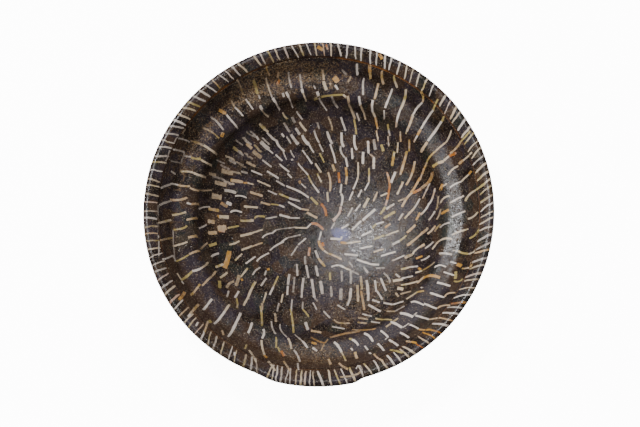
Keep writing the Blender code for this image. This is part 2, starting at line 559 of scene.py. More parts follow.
RING_INPUTS = {
    "Count": (INT, 60),
    "Inner Run": (FLOAT, 0.0),
    "Outer Run": (FLOAT, 0.01),
    "Phase": (FLOAT, 0.0),
    "Line Seed": (INT, 1),
    "Sideways Jitter": (FLOAT, 0.2),
    "Lengthways Jitter": (FLOAT, 0.2),
    "Lean Jitter": (FLOAT, 0.1),
    "Width": (FLOAT, 0.0008),
    "Gaps": (FLOAT, 0.04),
    "Seed": (INT, 1),
}


def named(nodes, name, kind="FLOAT"):
    """A value that was kept on the geometry under a name."""
    node = nodes.add("GeometryNodeInputNamedAttribute", {"Name": name}, data_type=kind)
    return next(s for s in node.outputs if s.enabled)


def chance(nodes, seed, offset, number=None, low=0.0, high=1.0):
    """A random number for each strand. Each offset gives another one."""
    node = nodes.add("FunctionNodeRandomValue", data_type="FLOAT")
    enabled = [s for s in node.inputs if s.enabled]
    for socket, value in zip(enabled, (low, high)):
        nodes.put(socket, value)
    nodes.put(node.inputs["ID"], number)
    nodes.put(node.inputs["Seed"], nodes.plus(seed, float(offset)))
    return next(s for s in node.outputs if s.enabled)


def ring_tree(ring):
    """Node tree: one point for each strand of a ring, with what it needs to grow."""
    inputs = {"Geometry": (GEOMETRY, None), **RING_INPUTS}
    nodes, given, made = new_group(f"Ring {ring.name}", "GeometryNodeTree", inputs, {"Geometry": GEOMETRY})
    points = nodes.add("GeometryNodePoints", {"Count": given["Count"]}).outputs[0]
    number = nodes.add("GeometryNodeInputIndex").outputs[0]
    seed = given["Seed"]

    def jitter(offset, amount):
        return nodes.times(chance(nodes, seed, offset, number, -1.0, 1.0), amount)

    sway = chance(nodes, given["Line Seed"], 1, number, -1.0, 1.0)
    sway = nodes.times(sway, given["Sideways Jitter"])
    place = nodes.plus(nodes.plus(number, given["Phase"]), sway)
    share = nodes.math("DIVIDE", place, given["Count"])
    share = nodes.math("FLOORED_MODULO", share, 1.0)
    turn = nodes.times(nodes.math("DIVIDE", place, given["Count"]), TAU)
    leans = [math.radians(value) for value in round_values(ring.lean)]
    lean = nodes.plus(nodes.compass(share, leans), jitter(2, given["Lean Jitter"]))
    length = nodes.minus(given["Outer Run"], given["Inner Run"])
    inner = nodes.times_plus(jitter(3, given["Lengthways Jitter"]), length, given["Inner Run"])
    outer = nodes.times_plus(jitter(4, given["Lengthways Jitter"]), length, given["Outer Run"])
    width = nodes.times(given["Width"], nodes.plus(1.0, jitter(5, 0.3)))
    fade = nodes.plus(nodes.compass(share, ring.fade), jitter(6, 0.18), clamp=True)
    warm = nodes.minus(nodes.compass(share, ring.warm), chance(nodes, seed, 7, number))
    for name, value in (
        ("turn", turn),
        ("inner", inner),
        ("outer", outer),
        ("lean", lean),
        ("width", width),
        ("fade", fade),
        ("warm", nodes.times(warm, 4.0, clamp=True)),
        ("tone", chance(nodes, seed, 8, number)),
        ("kink", jitter(9, ring.kink)),
        ("wobble", ring.wobble),
    ):
        points = store(nodes, points, name, value)
    gone = nodes.math("LESS_THAN", chance(nodes, seed, 10, number), given["Gaps"])
    for start, end in ring.bare:
        past = nodes.math("FLOORED_MODULO", nodes.minus(turn, math.radians(start)), TAU)
        gone = nodes.math("MAXIMUM", gone, nodes.math("LESS_THAN", past, math.radians(end - start)))
    clearing = {"Geometry": points, "Selection": gone}
    cleared = nodes.add("GeometryNodeDeleteGeometry", clearing, domain="POINT")
    joined = nodes.add("GeometryNodeJoinGeometry", {"Geometry": cleared.outputs[0]})
    nodes.put(joined.inputs[0], given["Geometry"])
    nodes.put(made["Geometry"], joined.outputs[0])
    return nodes.tree


def slabs(nodes, points, segments):
    """A block for each point, with its corners' places along, across and above kept on them."""
    block = nodes.add(
        "GeometryNodeMeshCube",
        {"Size": (1.0, 1.0, 1.0), "Vertices X": segments, "Vertices Y": 2, "Vertices Z": 2},
    ).outputs["Mesh"]
    flat = nodes.separate(nodes.add("GeometryNodeInputPosition").outputs[0])
    block = store(nodes, block, "along", nodes.plus(flat["X"], 0.5))
    block = store(nodes, block, "across", flat["Y"])
    block = store(nodes, block, "above", nodes.math("GREATER_THAN", flat["Z"], 0.0))
    numbered = store(nodes, points, "number", nodes.add("GeometryNodeInputIndex").outputs[0])
    placed = nodes.add("GeometryNodeInstanceOnPoints", {"Points": numbered, "Instance": block}).outputs[0]
    return nodes.add("GeometryNodeRealizeInstances", {"Geometry": placed}).outputs[0]


def unevenness(nodes, along, number, seed):
    """A place in the noise that no two strands share, and the waves that it gives their line."""
    row = nodes.times(number, 3.7)
    spread = nodes.combine(nodes.times(along, 2.2), row, seed)
    waves = nodes.minus(nodes.noise(spread, 1.0, 2.0, 0.6), 0.5)
    return spread, waves


def half_width(nodes, along, spread, end_width):
    """How wide a strand is at this place along it: uneven, and narrower at its ends."""
    ends = nodes.math("ABSOLUTE", nodes.minus(nodes.times(along, 2.0), 1.0))
    narrow = nodes.times(nodes.math("POWER", ends, 12.0), nodes.minus(1.0, end_width))
    swell = nodes.plus(nodes.noise(nodes.vector("ADD", spread, (7.0, 0.0, 0.0)), 2.6, 2.0, 0.7), 0.5)
    width = nodes.times(named(nodes, "width"), nodes.minus(1.0, narrow))
    return nodes.times(width, swell)


def strand_tree(on_bowl, material):
    """Node tree: grows a flat sliver of glass along the bowl's surface from each point."""
    nodes, given, made = new_group(
        "Strands",
        "GeometryNodeTree",
        {
            "Geometry": (GEOMETRY, None),
            "Section": ("NodeSocketObject", None),
            "Segments": (INT, 9),
            "Proud": (FLOAT, 0.00004),
            "Depth": (FLOAT, 0.0003),
            "End Width": (FLOAT, 0.60),
            "Drift": (VECTOR, (0.0, 0.0, 0.0)),
            "Drift Reach": (FLOAT, 0.035),
            "Seed": (INT, 1),
        },
        {"Geometry": GEOMETRY},
    )
    info = nodes.add("GeometryNodeObjectInfo", {"Object": given["Section"]}).outputs["Geometry"]
    section = nodes.add("GeometryNodeMeshToCurve", {"Mesh": info}).outputs[0]
    real = slabs(nodes, given["Geometry"], given["Segments"])
    along, across, above = (named(nodes, name) for name in ("along", "across", "above"))
    number = named(nodes, "number")
    inner, outer, lean = (named(nodes, name) for name in ("inner", "outer", "lean"))
    run = nodes.lerp(along, inner, outer)
    middle = nodes.times(nodes.plus(inner, outer), 0.5)
    sampled = curve_sample(nodes, section, run)
    radius = nodes.math("MAXIMUM", nodes.separate(sampled.outputs["Position"])["X"], 0.0012)
    sideways = nodes.times(nodes.math("TANGENT", lean), nodes.minus(run, middle))
    spread, waves = unevenness(nodes, along, number, given["Seed"])
    sideways = nodes.times_plus(waves, named(nodes, "wobble"), sideways)
    break_at = chance(nodes, given["Seed"], 21, number, 0.25, 0.75)
    broken = nodes.remap(along, nodes.minus(break_at, 0.03), nodes.plus(break_at, 0.03))
    sideways = nodes.times_plus(nodes.minus(broken, 0.5), named(nodes, "kink"), sideways)
    width = half_width(nodes, along, spread, given["End Width"])
    out = nodes.times(across, width)
    sideways = nodes.times_plus(out, nodes.math("COSINE", lean), sideways)
    run = nodes.minus(run, nodes.times(out, nodes.math("SINE", lean)))
    turn = nodes.plus(named(nodes, "turn"), nodes.math("DIVIDE", sideways, radius))
    drift = nodes.separate(given["Drift"])
    fall = nodes.remap(radius, 0.0, given["Drift Reach"], 1.0, 0.0)
    round_x = nodes.times(radius, nodes.math("COSINE", turn))
    round_y = nodes.times(radius, nodes.math("SINE", turn))
    x = nodes.times_plus(drift["X"], fall, round_x)
    y = nodes.times_plus(drift["Y"], fall, round_y)
    drifted = nodes.vector("LENGTH", nodes.combine(x, y, 0.0))
    run = nodes.plus(run, nodes.minus(drifted, radius))
    off = nodes.lerp(above, nodes.times(given["Depth"], -1.0), given["Proud"])
    where = {"Section": section, "Turn": nodes.math("ARCTAN2", y, x), "Run": run, "Off": off}
    place = nodes.add("GeometryNodeGroup", where, node_tree=on_bowl)
    moved = nodes.add("GeometryNodeSetPosition", {"Geometry": real, "Position": place.outputs[0]})
    tree_output(nodes, moved.outputs[0], material, made, False)
    return nodes.tree


def laid_tree(material):
    """Node tree: lays a sliver of glass on the body along the bend through each point's three places."""
    nodes, given, made = new_group(
        "Laid strands",
        "GeometryNodeTree",
        {
            "Geometry": (GEOMETRY, None),
            "Body": ("NodeSocketObject", None),
            "Segments": (INT, 9),
            "Proud": (FLOAT, 0.00005),
            "Depth": (FLOAT, 0.0003),
            "End Width": (FLOAT, 0.9),
            "Wobble": (FLOAT, 0.0003),
            "Seed": (INT, 1),
        },
        {"Geometry": GEOMETRY},
    )
    real = slabs(nodes, given["Geometry"], given["Segments"])
    along, across, above = (named(nodes, name) for name in ("along", "across", "above"))
    first, middle, last = (named(nodes, name, "FLOAT_VECTOR") for name in ("first", "middle", "last"))

    def share(place, value):
        scale = nodes.combine(value, value, value)
        return nodes.vector("MULTIPLY", place, scale)

    twice = nodes.times(along, 2.0)
    to_end = nodes.minus(1.0, along)
    near_first = nodes.times(to_end, nodes.minus(1.0, twice))
    near_middle = nodes.times(nodes.times(twice, 2.0), to_end)
    near_last = nodes.times(along, nodes.minus(twice, 1.0))
    place = nodes.vector("ADD", share(first, near_first), share(middle, near_middle))
    place = nodes.vector("ADD", place, share(last, near_last))
    ahead = nodes.vector("SUBTRACT", last, first)
    bend = nodes.vector("SUBTRACT", nodes.vector("ADD", first, last), share(middle, 2.0))
    ahead = nodes.vector("ADD", ahead, share(bend, nodes.times_plus(along, 4.0, -2.0)))
    sideways = nodes.vector("NORMALIZE", nodes.vector("CROSS_PRODUCT", (0.0, 0.0, 1.0), ahead))
    number = named(nodes, "number")
    spread, waves = unevenness(nodes, along, number, given["Seed"])
    out = nodes.times(across, half_width(nodes, along, spread, given["End Width"]))
    out = nodes.times_plus(waves, given["Wobble"], out)
    place = nodes.vector("ADD", place, share(sideways, out))
    body = nodes.add("GeometryNodeObjectInfo", {"Object": given["Body"]}).outputs["Geometry"]
    above_bowl = nodes.vector("ADD", place, (0.0, 0.0, 0.2))
    ray = nodes.add("GeometryNodeRaycast", {"Target Geometry": body, "Source Position": above_bowl})
    nodes.put(ray.inputs["Ray Direction"], (0.0, 0.0, -1.0))
    off = nodes.lerp(above, nodes.times(given["Depth"], -1.0), given["Proud"])
    place = nodes.vector("ADD", ray.outputs["Hit Position"], share(ray.outputs["Hit Normal"], off))
    moved = nodes.add("GeometryNodeSetPosition", {"Geometry": real, "Position": place})
    tree_output(nodes, moved.outputs[0], material, made, False)
    return nodes.tree


# How far strands of the rings stray from their ring's lean, in degrees, and what keeps the rings' random
# draws apart
LEAN_JITTER = 7.0
FIRST_SEED = 3
SEEDS_TO_A_RING = 40


class Ring:
    """One ring of strands. Round values are given at every twelfth of a turn, from the right."""

    def __init__(self, name, inner, outer, count, lean, **more):
        self.name = name
        self.inner = inner
        self.outer = outer
        self.lean = lean
        self.fade = more.get("fade", 0.2)
        self.warm = more.get("warm", 0.15)
        self.kink = more.get("kink", 0.0006)
        self.wobble = more.get("wobble", 0.0016)
        self.bare = more.get("bare", ())
        self.inputs = {
            "Count": count,
            "Phase": more.get("phase", 0.0),
            "Line Seed": count,
            "Sideways Jitter": more.get("sideways", 0.10),
            "Lengthways Jitter": more.get("lengthways", 0.10),
            "Lean Jitter": math.radians(LEAN_JITTER),
            "Width": more.get("width", 0.00085),
            "Gaps": more.get("gaps", 0.03),
        }


def round_values(value):
    """Twelve values round the bowl."""
    return list(value) if isinstance(value, (tuple, list)) else [value] * COMPASS_STEPS


# Radii in metres, lean in degrees from the radial, the outer end turned counter-clockwise
RIM_RINGS = [
    Ring(
        "rim", 0.0690, None, 134, (22, 20, 15, 12, 12, 18, 3, 10, 15, 15, 15, 30),
        width=0.00072, sideways=0.14, lengthways=0.03, kink=0.0004, wobble=0.0012, gaps=0.02,
        fade=(0.25, 0.2, 0.15, 0.2, 0.2, 0.25, 0.3, 0.35, 0.35, 0.25, 0.25, 0.3),
        warm=(0.35, 0.3, 0.08, 0.15, 0.1, 0.12, 0.2, 0.2, 0.15, 0.08, 0.3, 0.45),
        bare=((252, 269),),
    ),
    Ring(
        "rim lap", 0.0692, None, 236, 2, width=0.00062, lengthways=0.04, kink=0.0003, wobble=0.0018,
        gaps=0.05, fade=0.2, warm=0.1, bare=((269, 612),),
    ),
]

INSIDE_RINGS = [
    Ring(
        "floor 2", 0.0408, 0.0452, 54, (40, 34, 24, 20, 16, 12, 4, 20, 24, 12, 50, 50),
        width=0.00095, wobble=0.0012, lengthways=0.12, phase=0.4,
        fade=(0.25, 0.35, 0.35, 0.35, 0.45, 0.5, 0.4, 0.35, 0.4, 0.45, 0.5, 0.4),
        warm=(0.14, 0.11, 0.04, 0.03, 0.02, 0.07, 0.14, 0.09, 0.09, 0.09, 0.09, 0.11),
        bare=((162, 478),),
    ),
    Ring(
        "floor 1", 0.0456, 0.0500, 60, (40, 34, 22, 18, 12, 10, 4, 20, 26, 16, 58, 50),
        width=0.0010, wobble=0.0012, lengthways=0.12,
        fade=(0.35, 0.4, 0.45, 0.5, 0.5, 0.55, 0.45, 0.45, 0.45, 0.45, 0.5, 0.4),
        warm=(0.14, 0.14, 0.05, 0.05, 0.02, 0.07, 0.11, 0.09, 0.09, 0.11, 0.14, 0.14),
        bare=((162, 478),),
    ),
]

# How far outside the groove the rim's strands end under the rim, and where the swirl's middle lies
UNDER_BAND = 0.0026
SWIRL_MIDDLE = (0.0021, -0.0028, 0.0)

OUTSIDE_RINGS = [
    Ring("outside upper", 0.0650, 0.0700, 62, -14, fade=0.3, warm=0.22),
    Ring("outside ledge", 0.0580, 0.0645, 60, -16, phase=0.4, fade=0.3, warm=0.18),
    Ring("outside wall 1", 0.0530, 0.0560, 60, -18, fade=0.35, warm=0.2),
    Ring("outside wall 2", 0.0470, 0.0526, 58, -20, phase=0.3, fade=0.3, warm=0.2),
    Ring("outside wall 3", 0.0402, 0.0464, 50, -22, fade=0.3, warm=0.18),
    Ring("outside wall 4", 0.0345, 0.0396, 44, -24, phase=0.4, fade=0.35, warm=0.2),
    Ring("under floor 1", 0.0205, 0.0272, 30, -24, fade=0.3, warm=0.2),
    Ring("under floor 2", 0.0120, 0.0198, 20, -24, phase=0.5, fade=0.3, warm=0.25),
    Ring("under floor 3", 0.0040, 0.0112, 10, -26, fade=0.3, warm=0.4),
]


def group_input(modifier, name, value):
    """Sets a modifier's input by the identifier of its named socket."""
    for item in modifier.node_group.interface.items_tree:
        if item.item_type == "SOCKET" and item.in_out == "INPUT" and item.name == name:
            modifier[item.identifier] = value
            return
    raise KeyError(name)


def add_tree(piece, tree, **inputs):
    """Gives a piece a node tree, and sets the tree's inputs by their names."""
    modifier = piece.modifiers.new(tree.name, "NODES")
    modifier.node_group = tree
    for name, value in inputs.items():
        group_input(modifier, name.replace("_", " "), value)
    return modifier


def make_plain(piece):
    """Turns what the node trees make into the piece's own mesh, and removes the trees."""
    bpy.context.view_layer.update()
    graph = bpy.context.evaluated_depsgraph_get()
    made = bpy.data.meshes.new_from_object(
        piece.evaluated_get(graph), preserve_all_data_layers=True, depsgraph=graph
    )
    piece.modifiers.clear()
    old = piece.data
    piece.data = made
    made.name = piece.name
    bpy.data.meshes.remove(old)
    if not made.polygons:
        raise RuntimeError(f"{piece.name} came out empty")


def new_piece(name, points=(), edges=()):
    mesh = bpy.data.meshes.new(name)
    mesh.from_pydata(points, edges, [])
    piece = bpy.data.objects.new(name, mesh)
    bpy.context.scene.collection.objects.link(piece)
    return piece


def wire(name, section):
    """A wire along the section, which the node trees turn or read."""
    points = [(r, 0.0, z) for r, z in section.points]
    edges = [(number, number + 1) for number in range(len(points) - 1)]
    return new_piece(name, points, edges)


def principled(name, view_colour):
    """A new material, with its nodes and its shader."""
    material = bpy.data.materials.new(name)
    material.use_nodes = True
    material.diffuse_color = (*view_colour, 1.0)
    shader = material.node_tree.nodes["Principled BSDF"]
    shader.inputs["Metallic"].default_value = 0.0
    shader.inputs["IOR"].default_value = 1.5
    shader.inputs["Specular IOR Level"].default_value = 0.29
    return material, Nodes(material.node_tree), shader


def rgba(value):
    """A colour setting as a socket takes it."""
    return (*value[:3], 1.0)


def zone_group():
    """Node group: a soft ragged patch round a place given by its turn and its radius."""
    nodes, given, made = new_group(
        "Patch",
        "ShaderNodeTree",
        {
            "Turn": (FLOAT, 0.0),
            "Turn Reach": (FLOAT, 0.3),
            "Radius": (FLOAT, 0.05),
            "Radius Reach": (FLOAT, 0.01),
            "Raggedness": (FLOAT, 0.6),
            "Grain": (FLOAT, 250.0),
        },
        {"Mask": FLOAT},
    )
    place = nodes.add("ShaderNodeTexCoord").outputs["Object"]
    xyz = nodes.separate(place)
    turn = nodes.math("ARCTAN2", xyz["Y"], xyz["X"])
    apart = nodes.math("WRAP", nodes.minus(turn, given["Turn"]), math.pi, -math.pi)
    apart = nodes.math("DIVIDE", apart, given["Turn Reach"])
    radius = nodes.vector("LENGTH", nodes.combine(xyz["X"], xyz["Y"], 0.0))
    inward = nodes.math("DIVIDE", nodes.minus(radius, given["Radius"]), given["Radius Reach"])
    far = nodes.vector("LENGTH", nodes.combine(apart, inward, 0.0))
    ragged = nodes.minus(nodes.noise(place, given["Grain"], 4.0, 0.65), 0.5)
    far = nodes.times_plus(ragged, nodes.times(given["Raggedness"], 2.0), far)
    nodes.put(made["Mask"], nodes.remap(far, 0.45, 1.0, 1.0, 0.0))
    return nodes.tree


def patch(nodes, group, turn, turn_reach, radius, reach, ragged=0.6):
    """A patch's mask. Angles in degrees, radii in metres."""
    where = {"Turn": math.radians(turn), "Turn Reach": math.radians(turn_reach)}
    where.update({"Radius": radius, "Radius Reach": reach, "Raggedness": ragged})
    return nodes.add("ShaderNodeGroup", where, node_tree=group).outputs[0]


def most(nodes, *masks):
    """The strongest of several masks."""
    total = masks[0]
    for mask in masks[1:]:
        total = nodes.math("MAXIMUM", total, mask)
    return total


def weather_and_sheen_group(zones, colours):
    """Node group: dirt and pale frost over the glass, the frost also a painted sheen on the right of the
    floor and the ledge, with the grain that they give the surface.
    """
    nodes, given, made = new_group(
        "Weathering",
        "ShaderNodeTree",
        {"Color": (COLOR, (0.0, 0.0, 0.0, 1.0)), "Roughness": (FLOAT, 0.3), "Cling": (FLOAT, 1.0)},
        {"Color": COLOR, "Roughness": FLOAT, "Height": FLOAT},
    )
    place = nodes.add("ShaderNodeTexCoord").outputs["Object"]
    speck = nodes.noise(place, 1300.0, 3.0, 0.75)
    cloud = nodes.noise(place, 120.0, 4.0, 0.6)
    top = patch(nodes, zones, 106, 40, 0.0630, 0.0085, 0.9)
    upper_left = patch(nodes, zones, 148, 24, 0.0625, 0.0065, 1.0)
    bottom = patch(nodes, zones, 268, 22, 0.0605, 0.0075, 0.9)
    front_floor = patch(nodes, zones, 300, 45, 0.0400, 0.0130, 1.0)
    everywhere = nodes.remap(cloud, 0.35, 0.70, 0.18, 0.58)
    dirty = most(nodes, top, nodes.times(upper_left, 0.8), nodes.times(bottom, 0.8))
    dirty = most(nodes, dirty, nodes.times(front_floor, 0.7), everywhere)
    grains = nodes.remap(nodes.times_plus(dirty, 0.16, speck), 0.58, 0.80)
    dirt = nodes.times(nodes.times(grains, dirty), given["Cling"])
    color = nodes.blend(nodes.times(dirt, 0.9), given["Color"], rgba(colours.dirt))
    # Frost and painted sheen: pale specks right of the floor's middle and on the ledge at the right, where
    # the light is reflected, partly weathering and partly painted sheen
    frost_and_sheen_patch = patch(nodes, zones, -4, 60, 0.0200, 0.0170, 0.9)
    frost_and_ledge_sheen = patch(nodes, zones, 8, 26, 0.0600, 0.0075, 0.5)
    frost_and_sheen_patch = most(nodes, frost_and_sheen_patch, nodes.times(frost_and_ledge_sheen, 0.6))
    frost_and_sheen_speck = nodes.remap(nodes.noise(place, 1900.0, 3.0, 0.75), 0.55, 0.68)
    frost_and_sheen = nodes.times(nodes.times(frost_and_sheen_patch, frost_and_sheen_speck), given["Cling"])
    color = nodes.blend(nodes.times(frost_and_sheen, 0.42), color, rgba(colours.frost_and_sheen))
    # Specks gather on the dirt and on the frost and painted sheen; in that patch they are partly painted
    # glints
    worn = nodes.times_plus(most(nodes, dirty, frost_and_sheen_patch), 0.7, 0.3)
    specks = nodes.remap(nodes.noise(place, 2300.0, 1.0), 0.62, 0.72, 0.0, 0.75)
    specks = nodes.times(nodes.times(specks, worn), given["Cling"])
    color = nodes.blend(specks, color, rgba(colours.specks))
    both = nodes.plus(nodes.plus(dirt, frost_and_sheen), specks, clamp=True)
    rough = nodes.times_plus(both, 0.16, given["Roughness"])
    grain = nodes.remap(nodes.noise(place, 1000.0, 3.0, 0.75), 0.44, 0.58, 0.0, 0.16)
    rough = nodes.plus(rough, grain)
    matt = patch(nodes, zones, -52, 44, 0.0600, 0.0120, 0.5)
    rough = nodes.times_plus(matt, 0.34, rough)
    nodes.put(made["Color"], color)
    nodes.put(made["Roughness"], rough)
    nodes.put(made["Height"], nodes.minus(both, nodes.times(speck, 0.3)))
    return nodes.tree


def finish_glass(nodes, shader, weathering_and_sheen, color, roughness, cling):
    """Puts the weathering and painted sheen over a glass colour and joins it to the shader, with the
    surface's grain.
    """
    under = {"Color": color, "Roughness": roughness, "Cling": cling}
    weather_and_sheen = nodes.add("ShaderNodeGroup", under, node_tree=weathering_and_sheen)
    place = nodes.add("ShaderNodeTexCoord").outputs["Object"]
    xyz = nodes.separate(place)
    radius = nodes.vector("LENGTH", nodes.combine(xyz["X"], xyz["Y"], 0.0))
    rings = nodes.noise(nodes.combine(radius, 0.0, 0.0), 1800.0, 2.0, 0.6)
    pits = nodes.remap(nodes.noise(place, 700.0, 1.0), 0.24, 0.36)
    waves = nodes.noise(place, 240.0, 2.0, 0.5)
    height = nodes.times_plus(rings, 0.16, nodes.times(pits, 0.8))
    height = nodes.times_plus(weather_and_sheen.outputs["Height"], 0.8, height)
    height = nodes.times_plus(waves, 0.5, height)
    grit = nodes.noise(place, 1500.0, 2.0, 0.6)
    height = nodes.times_plus(grit, 0.62, height)
    bump = nodes.add("ShaderNodeBump", {"Strength": 0.8, "Distance": 0.00016, "Height": height})
    nodes.put(shader.inputs["Base Color"], weather_and_sheen.outputs["Color"])
    nodes.put(shader.inputs["Roughness"], weather_and_sheen.outputs["Roughness"])
    nodes.put(shader.inputs["Normal"], bump.outputs[0])


# Patches of other glass in the ground: the colour and how strong it is, the turn and its reach in degrees,
# the radius and its reach in metres, and how ragged the edge is
GROUND_PATCHES = (
    ("green", 0.8, 232, 7, 0.0625, 0.0050, 0.5),
    ("green", 0.5, 356, 14, 0.0555, 0.0040, 0.8),
    ("blue", 0.9, -23, 22, 0.0102, 0.0050, 0.4),
    ("purple", 0.9, 80, 7, 0.0640, 0.0050, 0.7),
    ("purple", 0.8, 215, 26, 0.0600, 0.0070, 0.6),
    ("purple", 0.8, 300, 34, 0.0585, 0.0055, 0.6),
    ("brown", 0.8, 245, 75, 0.0660, 0.0075, 0.8),
)


def ground_colour(nodes, place, soft, zones, colours):
    """Near-black glass in small tiles of purple, brown and green cast, with patches of other glass."""
    tiles = nodes.add("ShaderNodeTexVoronoi", {"Vector": place, "Scale": 190.0, "Randomness": 0.9})
    edges = nodes.add("ShaderNodeTexVoronoi", {"Vector": place, "Scale": 190.0}, feature="DISTANCE_TO_EDGE")
    tile = nodes.add("ShaderNodeSeparateColor", {"Color": tiles.outputs["Color"]}).outputs
    color = nodes.blend(nodes.remap(soft, 0.40, 0.65), rgba(colours.dark), rgba(colours.purple))
    color = nodes.blend(nodes.remap(tile["Red"], 0.45, 0.95, 0.0, 0.9), color, rgba(colours.brown))
    color = nodes.blend(nodes.remap(tile["Green"], 0.80, 0.98, 0.0, 0.35), color, rgba(colours.green))
    worn = nodes.remap(nodes.noise(place, 260.0, 3.0, 0.6), 0.48, 0.66, 0.0, 0.35)
    bricks = patch(nodes, zones, 168, 26, 0.0640, 0.0060, 0.5)
    worn = nodes.times(worn, nodes.times_plus(bricks, 1.2, 0.25))
    edge = nodes.times(nodes.remap(edges.outputs["Distance"], 0.015, 0.07, 1.0, 0.0), worn)
    color = nodes.blend(edge, color, rgba(colours.dirt))
    for shade, strength, *where in GROUND_PATCHES:
        share = nodes.times(patch(nodes, zones, *where), strength)
        color = nodes.blend(share, color, rgba(getattr(colours, shade)))
    return color


def seam_and_lip(nodes, zones, colours, section, along_seam, color):
    """The orange stain in the groove, the shade below it, and a pale line on the lip that is painted
    highlight and partly wear.
    """
    run = nodes.add("ShaderNodeAttribute", attribute_name="run").outputs["Fac"]
    seam_run = section.run_inside(section.seam_radius)
    off_seam = nodes.math("ABSOLUTE", nodes.minus(run, seam_run + 0.0002))
    in_seam = nodes.remap(off_seam, 0.0003, 0.0009, 1.0, 0.0)
    upper_left = patch(nodes, zones, 128, 22, 0.0687, 0.01)
    upper_right = patch(nodes, zones, 62, 26, 0.0687, 0.01)
    strong = nodes.times_plus(most(nodes, upper_left, upper_right), 0.90, 0.20)
    in_seam = nodes.times(in_seam, strong)
    in_seam = nodes.times(in_seam, nodes.remap(along_seam, 0.38, 0.60, 0.2, 1.0))
    color = nodes.blend(in_seam, color, rgba(colours.seam))
    below_seam = nodes.minus(seam_run, run)
    shade = nodes.remap(below_seam, 0.0006, 0.0014, 1.0, 0.0)
    shade = nodes.times(shade, nodes.remap(below_seam, 0.0, 0.0004))
    color = nodes.blend(nodes.times(shade, 0.7), color, (0.004, 0.003, 0.003, 1.0))
    # The pale line along the lip's top: painted highlight, partly wear
    lip_run = section.runs[section.lip_index] + 0.0003
    off_lip = nodes.math("ABSOLUTE", nodes.minus(run, lip_run))
    lip_highlight_and_wear = nodes.remap(along_seam, 0.3, 0.5, 0.3, 0.9)
    lip_highlight_and_wear = nodes.times(lip_highlight_and_wear, nodes.remap(off_lip, 0.00012, 0.0004, 1.0, 0.0))
    return nodes.blend(lip_highlight_and_wear, color, rgba(colours.cream))


def ground_material(colours, zones, weathering_and_sheen, section):
    """The near-black glass between the strands."""
    material, nodes, shader = principled("mosaic_ground", colours.dark)
    place = nodes.add("ShaderNodeTexCoord").outputs["Object"]
    soft = nodes.noise(place, 90.0, 3.0, 0.6)
    along_seam = nodes.noise(place, 60.0, 3.0, 0.6)
    color = ground_colour(nodes, place, soft, zones, colours)
    color = seam_and_lip(nodes, zones, colours, section, along_seam, color)
    roughness = nodes.remap(soft, 0.3, 0.7, 0.15, 0.21)
    finish_glass(nodes, shader, weathering_and_sheen, color, roughness, 1.0)
    return material


def strand_material(colours, zones, weathering_and_sheen):
    """The strands: grey-white and cream, some olive, amber or orange, some sunk in the dark glass."""
    material, nodes, shader = principled("mosaic_strands", colours.cream)

    def kept(name):
        return nodes.add("ShaderNodeAttribute", attribute_name=name).outputs["Fac"]

    place = nodes.add("ShaderNodeTexCoord").outputs["Object"]
    tone = kept("tone")
    drift = nodes.noise(place, 160.0, 3.0, 0.6)
    fine = nodes.noise(place, 900.0, 3.0, 0.7)
    color = nodes.blend(nodes.remap(tone, 0.30, 0.70), rgba(colours.grey), rgba(colours.cream))
    olive = nodes.remap(nodes.plus(nodes.times(tone, 0.25), drift), 0.70, 0.86)
    color = nodes.blend(olive, color, rgba(colours.olive))
    yellower = nodes.times_plus(tone, 0.5, nodes.noise(place, 260.0, 2.0))
    hue = nodes.blend(nodes.remap(yellower, 0.65, 0.85), rgba(colours.orange), rgba(colours.amber))
    warm = nodes.times(kept("warm"), nodes.remap(drift, 0.30, 0.55, 0.35, 1.0))
    color = nodes.blend(warm, color, hue)
    tinged = patch(nodes, zones, 18, 60, 0.0460, 0.0180, 0.9)
    uneven = nodes.remap(nodes.noise(place, 210.0, 2.0), 0.46, 0.62, 0.0, 0.55)
    tinged = nodes.times(tinged, uneven)
    color = nodes.blend(tinged, color, rgba(colours.amber))
    sunk = nodes.times_plus(kept("fade"), 1.1, nodes.minus(fine, 0.5))
    sunk = nodes.remap(sunk, 0.05, 1.0, 0.0, 0.92)
    color = nodes.blend(sunk, color, rgba(colours.brown))
    # Painted shade: strands towards -X are blended up to 30 % towards brown, darker on the side that gets
    # less light
    painted_shade_left = nodes.remap(nodes.separate(place)["X"], -0.02, 0.03, 0.30, 0.0)
    color = nodes.blend(painted_shade_left, color, rgba(colours.brown))
    finish_glass(nodes, shader, weathering_and_sheen, color, 0.20, 0.7)
    return material


def strand_points(piece, strands):
    """Keeps the facts of single strands on the piece's points."""
    for name, value in strands[0].items():
        kind = "FLOAT_VECTOR" if isinstance(value, Vector) else "FLOAT"
        layer = piece.data.attributes.new(name, kind, "POINT")
        for item, strand in zip(layer.data, strands):
            setattr(item, "vector" if kind == "FLOAT_VECTOR" else "value", strand[name])


def camera_place():
    """The point that the camera looks at, and the direction from there to the camera."""
    target = Vector((*LOOK_AT, CAD_BOX[1][2]))
    away = Vector((0.0, -math.sin(CAMERA_TILT), math.cos(CAMERA_TILT)))
    return target, away


